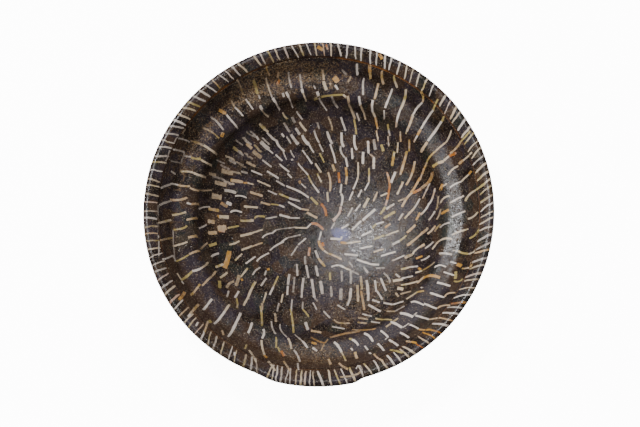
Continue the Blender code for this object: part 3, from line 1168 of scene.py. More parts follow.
class PictureSight:
    """Finds the place on the bowl's inside that a point of the photograph shows."""

    def __init__(self, section, distance):
        self.section = section
        self.distance = distance
        self.rim = max(z for r, z in section.points)

    def height(self, radius):
        """The inside's height at this radius."""
        points = self.section.points
        for (r1, z1), (r2, z2) in zip(points, points[1 : self.section.lip_index]):
            if r1 <= radius <= r2 and r2 > r1:
                return z1 + (z2 - z1) * (radius - r1) / (r2 - r1)
        return self.rim

    def plan(self, x_px, y_px):
        """The place seen at this pixel, in plan."""
        target, away = camera_place()
        eye = target + away * self.distance
        right = Vector((1.0, 0.0, 0.0))
        up = away.cross(right)
        across = (x_px - PICTURE_SIZE[0] / 2) * PIXEL
        down = (y_px - PICTURE_SIZE[1] / 2) * PIXEL
        ray = target + right * across - up * down - eye
        height = self.rim
        for _ in range(12):
            place = eye + ray * ((height - eye.z) / ray.z)
            radius = math.hypot(place.x, place.y)
            height = self.height(radius)
        return Vector((place.x, place.y, 0.0))


# Blur makes the strands look wider in the photograph, so they get this share of the width read there
SLIMMER = 0.86

# How a single strand looks: its tone from grey, 0, to cream, 1, how much it is amber or orange, and how
# far it is sunk in the dark glass
LOOKS = {
    "white": (0.0, 0.0, -0.05),
    "grey": (0.1, 0.0, 0.34),
    "cream": (0.8, 0.0, 0.12),
    "olive": (1.6, 0.0, 0.10),
    # dim strands: sunk in the glass; on the left of the ledge, where they lie in shade, their darkness is
    # painted shade as well
    "dim": (0.3, 0.0, 0.55),
    "tan": (0.8, 0.2, 0.45),
    "peach": (0.8, 0.38, 0.20),
    "amber": (1.0, 0.85, 0.05),
    "orange": (0.1, 1.0, 0.05),
    "rust": (0.8, 0.7, 0.45),
}

# Strands of the floor, listed one by one. Each has its look and its width, then x and y of its first,
# middle and last place, or of its first and last alone, in the photograph's pixels
FLOOR_UPPER_LEFT = [
    ("white", 1.8, 269, 150, 273, 153.5),
    ("white", 2, 275.5, 154.5, 282.4, 160.8),
    ("grey", 1.6, 283.2, 150, 284, 154, 286.8, 159.8),
    ("grey", 1.6, 290.5, 150, 292, 154, 294.5, 157.5),
    ("grey", 2.2, 291, 159.8, 293.2, 159.4),
    ("white", 1.8, 302.2, 150, 305.8, 154.8),
    ("white", 2, 306.4, 155.4, 312.2, 163.7),
    ("cream", 2.3, 315.3, 163.4, 321.1, 172.5),
    ("olive", 1.8, 319.6, 153, 324.2, 162.4),
    ("cream", 1.8, 317.2, 173.7, 321.4, 182.2),
    ("white", 1.8, 298, 163.5, 303.4, 169.8, 308, 175),
    ("olive", 1.8, 308, 175, 310.5, 180.5, 312.5, 184),
    ("white", 2, 312.5, 184, 319, 192.7),
    ("white", 2, 279.3, 164, 289.2, 172),
    ("white", 2, 287.4, 173.5, 291.8, 177.8),
    ("grey", 2, 262.3, 159.9, 271.6, 167),
    ("tan", 4.5, 253, 151, 261.4, 158),
    ("white", 1.8, 251.2, 170.4, 262.3, 175),
    ("white", 2.3, 267, 171, 278.6, 178.3),
    ("cream", 1.8, 257.2, 180.5, 270.5, 186.4),
    ("grey", 2, 276, 180.5, 284.8, 186),
    ("white", 2.2, 286.3, 185.8, 292.6, 188.6),
    ("white", 2.3, 292.6, 188.6, 300.4, 192, 308.6, 197.6),
    ("grey", 1.8, 267.8, 190.4, 277, 194.8),
    ("olive", 2.2, 279, 193.7, 289, 198),
    ("grey", 2.2, 289, 198, 300, 201.3),
    ("peach", 3, 250, 192, 262.8, 196),
    ("white", 1.8, 235, 196.3, 240, 195.7, 246.6, 197.8),
    ("peach", 2.4, 260.7, 202.2, 270.4, 204.8),
    ("olive", 1.6, 271, 204, 279, 205),
    ("white", 2, 279, 205, 284.4, 207.2),
    ("cream", 2.6, 243.8, 206.4, 257.8, 207.4),
    ("cream", 2.8, 240.4, 220.8, 253.6, 220.5),
    ("olive", 2.2, 254.8, 218.4, 257.5, 216.2, 265, 216.6),
    ("grey", 1.8, 265.6, 218.6, 277.2, 216.6),
    ("white", 2.6, 279.4, 214.8, 289.8, 217.5),
    ("grey", 2, 289.8, 217.7, 299.8, 218),
    ("white", 2.2, 288.2, 202, 301.2, 209.2),
    ("peach", 2, 301.5, 209, 308.8, 210),
    ("peach", 2.8, 306.8, 212.6, 317.3, 217.9),
    ("cream", 2.8, 240.3, 236, 251.8, 233.2),
    ("cream", 2, 251.8, 233, 262.8, 229.4),
    ("white", 1.8, 262.4, 238, 266.2, 234.6, 272.2, 233.1),
    ("white", 1.8, 272.2, 233.1, 276, 230),
    ("dim", 1.6, 276, 229.9, 284.2, 228.6, 295, 227.2),
    ("cream", 2, 295, 227.5, 307.2, 228),
    ("amber", 2, 243.5, 182.7, 247.5, 182.8),
    ("cream", 1.8, 247.5, 182.8, 253.6, 184.6),
    ("tan", 3, 246.4, 162, 255.4, 166.4),
    ("dim", 2.4, 241, 171.5, 247.6, 173.2),
    ("rust", 3.2, 299.2, 180.5, 300.3, 183.4),
    ("white", 1.4, 301.2, 183.6, 306, 188),
]
FLOOR_MIDDLE = [
    ("white", 1.8, 307.2, 228, 308.5, 226.2, 311, 223.8),
    ("orange", 3, 311, 223.6, 317, 224.3, 323.3, 229.6),
    ("olive", 2.8, 310.8, 197.2, 317.8, 204.6),
    ("orange", 2.8, 321, 204, 324.6, 208.8, 326.3, 216),
    ("peach", 2.4, 328, 172.3, 330.2, 181, 330, 191.2),
    ("cream", 2.2, 327.3, 192.2, 328, 201.8),
    ("white", 2, 341.6, 184, 340.4, 192.9),
    ("white", 2.4, 340.6, 194, 342.6, 197.5, 341.2, 205.8),
    ("orange", 2.6, 340.5, 206.5, 339.5, 212.8, 334.5, 219),
    ("orange", 3.4, 333, 218.5, 335, 221),
    ("grey", 1.6, 335, 222.5, 331.3, 228.7),
    ("white", 2, 353, 191.4, 349.3, 200.3),
    ("cream", 1.9, 369, 168, 369.1, 181.8),
    ("white", 1.8, 369, 182, 364.6, 190.3),
    ("white", 1.8, 361.7, 189.6, 358, 197),
    ("cream", 3.2, 368.6, 198, 363.6, 207.6),
    ("peach", 2, 377.4, 191.8, 373.3, 201.2),
    ("white", 1.8, 360.5, 204, 355.2, 211.2),
    ("grey", 1.8, 352.6, 207.4, 347.8, 216.4),
    ("white", 3, 375.2, 209.2, 362.4, 220.4),
    ("white", 2.4, 361.2, 221, 352, 229.8),
    ("white", 2.2, 348.6, 224.3, 341.4, 228.6),
    ("cream", 1.8, 380.6, 196, 387.6, 193),
    ("olive", 2.2, 372.4, 228, 376.2, 224),
    ("white", 1.8, 376.2, 224, 383.8, 222),
    ("amber", 2.4, 385, 227.5, 390.5, 223.8),
    ("white", 2.2, 361.2, 236, 371.8, 231),
    ("olive", 2.2, 374.2, 239.2, 384, 235.3),
    ("cream", 1.8, 385.8, 235.3, 398.6, 230.8),
    ("white", 2.6, 330.5, 238.6, 341, 239.4),
    ("white", 2, 341, 239.2, 342, 236.4),
    ("amber", 2.6, 340.5, 242.4, 347, 243.3),
    ("cream", 2, 347, 243.3, 360.6, 241.4),
    ("white", 2, 360.4, 248.4, 372.4, 246),
    ("peach", 2, 373.6, 252, 383.6, 249),
    ("white", 1.9, 381, 255.9, 387.8, 253.9, 395.6, 251.6),
    ("white", 2.2, 344.5, 254, 358, 255.4),
    ("white", 2.2, 357, 259.4, 370.4, 264.1),
    ("white", 2.2, 370.4, 264.2, 379, 264.6),
    ("white", 1.7, 321, 231.6, 320.2, 236, 319, 240),
    ("amber", 3, 319, 240.6, 320, 245.4, 323.8, 250),
    ("orange", 3.4, 321.8, 242.6, 323.6, 246),
    ("cream", 2, 324, 250.6, 328.5, 253.6),
    ("peach", 2.3, 329, 253.8, 335, 256, 341.8, 259.5),
    ("white", 2, 331.4, 267, 338, 265.3, 344, 267.4),
    ("cream", 2, 344, 267.4, 350.6, 270.3),
    ("dim", 1.8, 350.6, 270.5, 359, 274.5),
    ("grey", 2.6, 315.3, 250.3, 318.2, 258),
    ("peach", 2.6, 318.2, 258, 325, 266.6),
    ("orange", 2.7, 309.6, 247.6, 308.8, 255.8),
    ("white", 1.8, 281.5, 241.6, 287.3, 237.9),
    ("dim", 1.8, 287.4, 237.8, 301, 234.6),
    ("white", 1.8, 306, 238.1, 298.2, 244.9),
    ("grey", 1.8, 297.6, 246, 291, 255.7),
    ("olive", 2.2, 329.8, 272.6, 330.2, 280),
]
FLOOR_LOWER_LEFT = [
    ("cream", 2, 235, 260.5, 242.2, 253.7),
    ("cream", 2.4, 241.5, 250, 252, 246),
    ("peach", 1.8, 252, 246.4, 262.6, 242.6),
    ("white", 2, 245.6, 263.6, 255.4, 256.5),
    ("white", 2, 256.8, 261.4, 260.8, 257.4, 269, 253),
    ("white", 2, 270, 250.4, 275.8, 245.7, 284, 241.4),
    ("cream", 2.2, 240.6, 277, 247.6, 268.2),
    ("tan", 4, 236, 286, 239.5, 275),
    ("amber", 2.4, 241.2, 278.6, 242.6, 280.8),
    ("grey", 1.9, 252.4, 275, 256, 270.2, 260.4, 267.4),
    ("cream", 2.6, 243.4, 305.6, 248.6, 296),
    ("cream", 3, 248.6, 296, 252.2, 287.4, 255.7, 281.8),
    ("grey", 2.2, 260.8, 286, 266.4, 277.8),
    ("grey", 1.8, 264.6, 275.4, 266.2, 270.4),
    ("amber", 2.6, 267, 269.6, 269.6, 268.8),
    ("white", 2.2, 269.6, 294.8, 273.4, 286.8),
    ("olive", 2, 273.4, 286.8, 278.2, 276),
    ("cream", 1.9, 263.2, 302.6, 266.3, 292.6),
    ("tan", 2.8, 262, 303, 262, 310),
    ("cream", 2, 281.2, 302.6, 282.8, 293.8),
    ("dim", 2, 277, 311.4, 278.9, 303),
    ("white", 2.2, 287.2, 295, 287.8, 285.8),
    ("grey", 3, 287.8, 284.6, 289.4, 274),
    ("dim", 2.2, 293.2, 292.4, 294.5, 277),
    ("grey", 2.6, 301.6, 297.6, 302.2, 289, 303.5, 277.8),
    ("dim", 2, 302.8, 301.6, 302.4, 309.2),
    ("grey", 2.3, 296.7, 264, 297.4, 275.8),
    ("dim", 2.6, 304.9, 256, 305.2, 264.4),
    ("grey", 2.3, 306.1, 265.2, 308.6, 278),
    ("grey", 2.8, 316, 265.6, 317.8, 276.2),
    ("grey", 3, 311.8, 279, 314.3, 297.6),
    ("dim", 2, 314.3, 297.6, 317.4, 301.2),
    ("grey", 3.4, 320.6, 281.2, 322.4, 294),
    ("grey", 1.8, 313, 302.4, 316.8, 309.8),
    ("grey", 1.8, 292, 299.6, 290.8, 315),
]
FLOOR_LOWER_RIGHT = [
    ("dim", 2.6, 331, 286, 331.6, 297),
    ("rust", 2.6, 361.2, 291, 362.6, 300, 364.4, 310),
    ("dim", 1.8, 349, 262, 353, 267.2),
    ("dim", 2.4, 363.8, 267, 368, 273.2),
    ("dim", 1.8, 376.2, 268.3, 384.8, 267.9),
    ("dim", 2.2, 383.6, 273, 388.4, 277.8, 389.6, 282.8),
    ("grey", 2, 395.6, 274, 400, 277.3),
    ("grey", 2, 401.6, 278.4, 413, 276),
    ("cream", 2.8, 393, 280.9, 402.8, 279.3),
    ("cream", 1.9, 401, 285, 408.8, 283.8, 417.8, 281),
    ("cream", 4, 397.4, 288, 403.4, 289.2),
    ("tan", 2, 400.4, 294, 411.2, 291.2),
    ("tan", 2.4, 395.6, 292.8, 398.6, 296.6),
    ("cream", 2, 406.4, 299.2, 417.8, 291.9),
    ("peach", 2, 417.8, 291.9, 424, 291),
    ("grey", 2.2, 372.2, 300, 379.6, 302.4),
    ("grey", 2.2, 383.6, 302.8, 392.6, 304.6),
    ("grey", 2, 392.6, 304.6, 403.6, 301.4),
    ("grey", 2.6, 368.2, 304.6, 380.8, 311.6),
    ("tan", 2, 386.6, 311.2, 395, 311.4),
    ("dim", 1.8, 395, 311.4, 404.6, 306),
    ("white", 2, 411, 302.4, 416, 301.8, 424, 305.2),
    ("dim", 3.8, 341, 288.6, 340.7, 300),
    ("grey", 3, 350.9, 288, 350, 298.8),
    ("grey", 2.6, 350, 298.8, 347.2, 305.6),
    ("tan", 3, 357.5, 285, 358.1, 301.8),
    ("grey", 3, 366.5, 280.2, 368, 291, 368, 300.8),
    ("grey", 2.4, 374.9, 280.2, 376.4, 291.6),
    ("grey", 2.4, 380.6, 278.2, 386, 291),
    ("grey", 2.2, 377, 291, 382.4, 299.6),
    ("tan", 3, 360.8, 276, 362, 289.4),
    ("dim", 2.6, 350.9, 270.8, 350.9, 283.8),
    ("dim", 2.2, 341.6, 270.8, 341.9, 281.6),
    ("peach", 2.6, 407, 232.8, 415.6, 224.8),
    ("olive", 2, 399.8, 240.8, 406.4, 235.6),
    ("grey", 2.6, 392.4, 244.6, 399.8, 240.8),
    ("peach", 2.8, 407.2, 245.6, 414.2, 240),
    ("peach", 2.4, 414.2, 240, 424, 231.4),
    ("cream", 2, 413, 254.4, 415.6, 250, 424.6, 244),
    ("tan", 3.4, 404.6, 257.6, 412.6, 254.4),
    ("grey", 1.8, 392.4, 260.6, 404.6, 255.4),
    ("amber", 2.2, 416, 258.6, 422.4, 256),
    ("cream", 2.2, 401, 269.4, 410.6, 267),
    ("grey", 2, 410.6, 267, 418, 266.3),
    ("cream", 2.2, 415.4, 272.8, 422.4, 270.4),
    ("amber", 2.6, 418.4, 268, 420.8, 269.6),
    ("peach", 2.6, 417.2, 283.2, 424.6, 276.4),
    ("grey", 1.6, 420.6, 287.4, 422.4, 288),
]
FLOOR_UPPER_RIGHT = [
    ("grey", 2.2, 314.2, 130.6, 316, 136.5, 319.2, 142.6),
    ("grey", 1.8, 319.4, 143.8, 323.2, 152),
    ("dim", 2, 317.2, 122.4, 319.2, 128.8),
    ("tan", 1.9, 328, 116.6, 330.9, 123.2, 332.4, 130.6),
    ("grey", 3, 327.2, 131.2, 329.6, 139, 332.4, 143.8),
    ("white", 2, 330, 144, 333.5, 154, 335.6, 163.2),
    ("peach", 3, 332.6, 164.6, 334.8, 171.2),
    ("grey", 2.2, 340.8, 117, 343, 123.2, 345.6, 131),
    ("white", 3, 341.5, 132.4, 341.9, 141.4, 344, 146.8),
    ("grey", 2, 340.8, 146, 341.2, 152.4, 345, 157.4),
    ("white", 2.3, 345.6, 157.6, 347.6, 166.8),
    ("amber", 2.6, 345.6, 167.2, 346.8, 176),
    ("peach", 2.6, 346.8, 176, 345.9, 184.2),
    ("orange", 2.8, 338.6, 172.4, 339.4, 182.6),
    ("olive", 2, 354, 119.5, 355.8, 128.2, 356.2, 134.2),
    ("white", 2.6, 354.4, 134.9, 354.6, 144.5, 357, 149.6),
    ("grey", 2, 356.6, 112.9, 359.5, 121),
    ("white", 2.4, 351.8, 148.1, 352.5, 159),
    ("cream", 2, 358, 162.1, 358.2, 173.8, 357, 180.2),
    ("white", 1.9, 357, 180.2, 353.3, 189.2),
    ("white", 3, 363.2, 151.8, 362.8, 164),
    ("white", 2.8, 367.9, 140.8, 368.7, 153.4),
    ("white", 3, 373.8, 156.8, 373.8, 168.8),
    ("grey", 1.6, 369.5, 154, 373.5, 157),
    ("tan", 1.8, 363.5, 111.5, 365.7, 119.6),
    ("amber", 2, 375.2, 116.6, 377.8, 129),
    ("cream", 1.8, 376.4, 130.4, 378.2, 141),
    ("grey", 1.8, 384.1, 110, 384.4, 119),
    ("olive", 2, 387.7, 123.9, 388.6, 129.6),
    ("grey", 1.9, 388.6, 129.6, 389.9, 135.8),
    ("grey", 1.8, 388.1, 135.8, 388.8, 146),
    ("cream", 1.8, 400.2, 131.2, 400.9, 141.6),
    ("cream", 1.8, 398, 142.2, 397.3, 152.6),
    ("dim", 3.4, 373.8, 139.2, 375.3, 149.8),
    ("olive", 3, 381.4, 144.4, 383.4, 151.2),
    ("olive", 3, 394.3, 151.6, 392.1, 165.8),
    ("peach", 2.8, 406.8, 151, 403.9, 162.8, 400.2, 174.6),
    ("peach", 2, 409.4, 139.2, 409.4, 151.2),
    ("white", 3, 395.4, 171.6, 391, 182.8),
    ("cream", 2.6, 403.1, 181.8, 397.2, 194.4),
    ("peach", 2.4, 414.9, 161.2, 411.9, 173.8, 406.1, 185),
    ("orange", 2.2, 387, 172.3, 389.6, 183.3, 389.2, 189.2),
    ("orange", 2.4, 389.2, 189.2, 387.7, 198, 385.5, 205.3),
    ("olive", 2.4, 385.4, 206.8, 380.4, 214.2),
    ("orange", 3, 421, 188.8, 412.7, 192.9),
    ("peach", 2.6, 412.7, 192.9, 407.5, 197.3, 402, 207),
    ("amber", 2.4, 420, 177.5, 414.9, 187, 410.6, 192.8),
    ("tan", 1.8, 409, 197.3, 398, 201),
    ("grey", 2.6, 394.3, 203.8, 386.2, 209.2),
    ("olive", 2.8, 395.1, 211.6, 384, 218),
    ("grey", 2, 420, 198.6, 414.9, 207.4),
    ("cream", 2.4, 414.9, 207.4, 404.6, 218.6),
    ("grey", 2.2, 403.1, 213.4, 398.7, 220.2),
    ("amber", 2.2, 420, 212.6, 416.2, 220.2),
]
FLOOR_LEFT_EDGE = [
    ("dim", 1.6, 216.5, 160, 225, 163.5),
    ("dim", 3, 229, 159.6, 236, 163.4),
    ("tan", 5, 221.5, 170.5, 233, 173.5),
    ("tan", 4.5, 214.8, 182, 226.4, 185),
    ("grey", 3.4, 224.4, 190.3, 230, 191, 236, 193),
    ("tan", 6, 211.8, 195.5, 221.6, 197.6),
    ("peach", 3.6, 230.4, 180, 243, 182),
    ("rust", 4, 220.8, 202.6, 224, 204.8, 227.4, 206.6),
    ("white", 4, 226.4, 202.4, 231.6, 204.6),
    ("peach", 3.6, 208.4, 208.6, 219, 210.6),
    ("amber", 2, 217.6, 215, 219.5, 218),
    ("cream", 4, 219, 216.6, 228.8, 217.2),
    ("peach", 4.6, 207.8, 221, 214.6, 222),
    ("white", 2.2, 230.4, 212.4, 235, 210.6, 242, 212.4),
    ("cream", 2.2, 227.6, 228, 233, 227, 239, 226),
    ("peach", 6.5, 217.6, 228.6, 226.4, 227.4),
    ("orange", 2.4, 219, 231, 225, 231.4),
    ("peach", 4, 208, 232.8, 217, 232.6),
    ("cream", 2.2, 229.2, 244.6, 234, 243.6, 239.4, 240.8),
    ("olive", 3.4, 209, 245.6, 216.6, 243.2),
    ("grey", 2.6, 211.4, 256.8, 214, 254.8, 219, 253.2),
    ("amber", 5.5, 229.4, 251, 227.4, 260, 224.6, 268),
    ("cream", 3, 215.4, 267, 223.4, 264),
    ("cream", 2.6, 220, 277.6, 222.6, 276, 227.4, 272.4),
    ("olive", 3.6, 219.4, 280.6, 219.8, 288),
    ("tan", 3, 226.6, 288, 229.4, 283.6, 234, 281.4),
    ("grey", 2, 228.6, 290.6, 226.8, 297),
    ("white", 2.6, 238.8, 291, 234.8, 297.6),
    ("olive", 1.8, 236.4, 298, 237.4, 303, 236.8, 308),
]
FLOOR_TOP_EDGE = [
    ("dim", 1.8, 246.4, 131.6, 250, 134.6, 256, 137.2),
    ("grey", 2.6, 256.4, 136.2, 258.6, 140),
    ("grey", 4.4, 260.6, 141.6, 266, 147, 269.6, 149.4),
    ("dim", 2, 235.6, 139.6, 238, 142, 243, 145),
    ("cream", 2.6, 259.4, 123.6, 262.6, 127.6, 268.4, 132),
    ("grey", 2.6, 267, 132.6, 273, 138.6, 277, 141),
    ("white", 2.6, 276.6, 140.6, 279, 146, 284.6, 151.4),
    ("peach", 3.4, 246.4, 143.6, 252, 148.6),
    ("dim", 2.2, 238, 151, 243.6, 155.6),
    ("cream", 2, 282.6, 112.4, 284.4, 116, 287.4, 119),
    ("white", 2.4, 281.6, 133.4, 284, 137),
    ("dim", 3, 284, 122.6, 287, 128, 290, 132),
    ("grey", 1.8, 286.6, 136.6, 291, 143.6),
    ("grey", 3.6, 291, 134.4, 294, 139, 298.4, 144.4),
    ("dim", 3.2, 292, 117, 295, 123),
    ("grey", 2, 296.4, 111.6, 299, 115, 302.4, 119.6),
    ("cream", 2.4, 299.6, 122, 302.4, 126.4, 306.4, 131),
    ("grey", 3, 295.6, 128, 299.8, 134.4),
    ("white", 3.4, 302.4, 135, 304.6, 140, 309, 144.4),
    ("white", 2, 309.4, 144.6, 311, 148.4, 314, 152.4),
    ("cream", 1.8, 260, 108, 264, 113, 268.6, 117),
]
FLOOR_BOTTOM_EDGE = [
    ("olive", 2.4, 260.6, 306, 261.6, 316, 262, 326),
    ("tan", 2.6, 275, 313, 276, 322),
    ("grey", 2, 271.4, 321, 272.4, 328, 275.6, 334),
    ("grey", 1.6, 280, 324, 281.4, 331, 287, 337),
    ("olive", 2.2, 290.4, 309, 292.4, 320, 293.6, 333),
    ("olive", 1.8, 302.6, 309, 309, 316.6),
    ("grey", 3.4, 305.4, 322, 308, 330),
    ("peach", 2.8, 311, 330.6, 321.4, 332.6),
    ("grey", 2, 323.6, 311, 330, 318),
    ("grey", 2, 337.4, 305, 345, 309.6),
    ("tan", 2, 334, 319.6, 340, 323, 350, 323),
    ("tan", 2, 358, 317.6, 368, 319.6),
    ("grey", 1.8, 362.4, 314, 372, 316.4),
    ("tan", 2.2, 357.4, 322.4, 367, 323.4),
    ("grey", 1.8, 332, 326.6, 345, 329),
    ("olive", 1.8, 375.4, 318.4, 382, 319.6, 392, 320),
    ("grey", 2, 371, 321.6, 380, 323),
    ("rust", 2.6, 330, 337.6, 345, 333.8, 360, 331.6),
    ("rust", 1.8, 352, 329.6, 366, 330, 376, 328.4),
    ("tan", 2, 386, 327, 392, 322.6, 398, 318),
]
FLOOR_RIGHT_EDGE = [
    ("grey", 2, 424, 168, 420, 180),
    ("grey", 1.8, 422.6, 198.4, 427, 189, 430, 183),
    ("rust", 3.6, 421, 188, 430, 180, 432, 172),
    ("white", 2, 435, 188, 432.4, 198, 428.4, 205),
    ("white", 2.2, 429, 203, 425.6, 209.6, 420.6, 214.6),
    ("tan", 1.8, 438.6, 196, 437.4, 206, 436, 209),
    ("grey", 2, 435, 211, 432, 216, 428.6, 220),
    ("tan", 2, 441, 208.6, 439, 215, 436.6, 219.4),
    ("tan", 2.4, 440.6, 224, 437, 228, 435, 231.6),
    ("peach", 2.2, 435.4, 225.6, 432, 230, 427.4, 233.8),
    ("tan", 3, 428, 227.6, 425, 231, 421, 233.6),
    ("grey", 2, 433.4, 241.6, 430, 245, 425, 248.4),
    ("tan", 2.2, 424.6, 245, 420, 247.6),
    ("cream", 2, 440.6, 240.6, 437, 243, 432.4, 249.4),
    ("grey", 1.8, 429.6, 255.6, 426, 258.6, 421, 260.4),
    ("tan", 1.8, 434.6, 262, 430, 266, 423.4, 270),
    ("amber", 3.2, 440, 277.8, 431, 275.6, 422.6, 278.6),
]
# Strands of the ledge and of the wall above it, in the same way
FLANGE_UPPER_RIGHT = [
    ("white", 2.4, 392.4, 88.4, 388.4, 99, 385, 108),
    ("cream", 2.8, 406, 89, 404.6, 99, 400.6, 109),
    ("white", 2.4, 400.6, 109, 397.6, 118, 396.2, 127),
    ("peach", 2.2, 420.6, 91.6, 423.2, 96, 422.6, 102),
    ("white", 2.4, 422.4, 102.4, 417, 108, 413.4, 114),
    ("cream", 2.6, 413, 114, 411, 121, 406, 133.6),
    ("amber", 2.8, 412.4, 116.4, 411.2, 120),
    ("olive", 2.2, 438, 99, 434.6, 106, 433, 111),
    ("white", 2.4, 433.4, 110, 427.4, 118, 421, 129),
    ("amber", 2.6, 420.6, 129.4, 417.4, 135.4),
    ("white", 2, 417.6, 135, 414, 142),
    ("olive", 2.2, 444, 116, 442, 121.4),
    ("white", 2.8, 441.6, 121, 436, 130, 427.8, 141),
    ("peach", 3.4, 427.4, 142, 424.6, 146, 421, 152),
    ("cream", 2, 451.4, 130, 449, 137, 446.4, 141.6),
    ("peach", 1.8, 446.4, 141.6, 440, 147, 435, 151.6),
    ("olive", 2, 435, 151.6, 429.6, 157, 427, 162),
    ("peach", 2.2, 427, 162, 424.6, 168, 422, 174),
    ("olive", 2, 470, 131, 466, 136, 461, 141),
    ("peach", 2.4, 461, 141, 457, 147, 450, 153),
    ("orange", 3, 456.4, 152.6, 449, 155.6),
    ("cream", 2.4, 449, 156, 444, 160.4),
    ("peach", 3, 444, 161, 438, 163),
    ("olive", 3, 438, 163, 432.6, 166.6),
    ("cream", 2, 472, 152, 467, 157, 463, 160),
    ("amber", 3, 463, 160, 459, 163.6),
    ("cream", 2, 458.4, 165.6, 453, 169, 448, 175),
    ("amber", 2.6, 471.4, 170.6, 469, 174),
    ("cream", 2, 469, 174, 464.6, 178, 461.4, 181.4),
    ("white", 1.8, 461.4, 181.4, 455, 184, 450, 187.6),
    ("amber", 3, 442.6, 184, 440.4, 190),
    ("cream", 1.6, 447, 183.4, 443, 186.4),
    ("olive", 2.6, 485, 183.4, 479, 187.6, 474, 191),
    ("cream", 2.6, 474, 191, 469, 195, 465.4, 201),
    ("white", 2, 464, 195.6, 457, 199, 450, 203),
    ("cream", 1.8, 449.6, 196, 444, 198, 440.4, 203),
]
FLANGE_TOP = [
    ("amber", 3.4, 317.4, 46.6, 323, 50),
    ("orange", 2.2, 326, 44.6, 328, 49.6),
    ("amber", 3.4, 379, 54, 382, 59),
    ("grey", 2.2, 299.6, 74, 301, 82, 301.6, 88),
    ("white", 3, 301.6, 88.6, 303, 93),
    ("cream", 2, 303.2, 93, 305, 98, 306.6, 101),
    ("grey", 1.6, 313.6, 85.6, 315.6, 89),
    ("white", 3, 317, 91.6, 318.6, 96),
    ("grey", 1.8, 319, 98, 323, 105, 327, 110.6),
    ("peach", 2.4, 322.6, 70, 324, 80),
    ("cream", 3.4, 323.6, 81, 325, 86, 326.6, 90),
    ("peach", 2.6, 329.6, 83, 331, 84.6),
    ("white", 2.4, 335, 85, 338, 89.6),
    ("amber", 6, 334, 77, 338, 82),
    ("olive", 2, 314, 99.4, 326, 96, 343, 94.6),
    ("cream", 2.2, 343, 94.6, 346, 97),
    ("dim", 2.2, 331.6, 96, 334, 102, 338, 108),
    ("peach", 3, 347.6, 96, 349, 103),
    ("tan", 2.4, 348.6, 104, 352, 111, 355, 119),
    ("white", 2.6, 359, 96, 359.6, 101, 360.4, 105),
    ("tan", 2, 360.4, 105, 362, 108.6, 363.6, 112),
    ("grey", 2.2, 364, 78, 363, 85, 363.2, 95),
    ("white", 2.8, 357, 63.6, 357, 70, 357.8, 75),
    ("amber", 3.6, 369.6, 65, 370, 72),
    ("peach", 2.8, 370, 72, 370.6, 79),
    ("peach", 2.6, 378.4, 83, 376.8, 90, 374.6, 99),
    ("white", 2.6, 373, 100, 372, 106, 373, 112),
    ("cream", 2, 373, 112, 375.4, 117),
    ("peach", 2.4, 382, 70.6, 382, 78, 383.8, 84),
    ("cream", 2.2, 394, 75.4, 395, 81, 397.6, 87.6),
    ("tan", 2.4, 348, 82, 351, 76),
    ("dim", 2, 342, 70, 347, 75),
]
FLANGE_UPPER_LEFT = [
    ("grey", 2.4, 210.6, 117, 217, 122, 223.6, 130),
    ("amber", 3.6, 223, 132.6, 221.6, 137),
    ("tan", 2, 203, 128, 211, 131.6, 219, 138.4),
    ("amber", 3.6, 219, 110, 226, 113.4),
    ("white", 2.4, 226.4, 114.6, 232, 121.4, 238, 129),
    ("tan", 2, 231, 100, 234.6, 107),
    ("white", 2, 234.6, 107, 238.6, 111, 243, 116),
    ("tan", 2, 236.6, 79.6, 240.6, 87, 243, 95),
    ("white", 1.8, 245.6, 99, 250, 105, 253, 109.6),
    ("olive", 3.4, 253.6, 80, 256, 88, 257.4, 94),
    ("grey", 1.8, 258.6, 95, 260, 99),
    ("white", 3, 259.6, 105.6, 262.4, 109.6),
    ("peach", 2, 266.6, 66, 267, 70, 270, 76),
    ("cream", 2, 266, 78, 268, 86, 270, 92),
    ("grey", 2, 270, 92, 272, 97.6),
    ("white", 3, 272.6, 98, 275.4, 102.4),
    ("white", 2, 275.4, 102, 278, 107, 280, 110),
    ("peach", 2.4, 278.6, 72, 277.6, 78),
    ("orange", 2.8, 279.6, 80, 277, 84.4),
    ("grey", 2.8, 282.6, 93, 284, 97),
    ("white", 3, 286, 92, 288.6, 97),
    ("grey", 1.8, 288.6, 97, 291, 103, 293, 108),
    ("grey", 2.2, 288.6, 72, 289.4, 80, 291.6, 88),
]
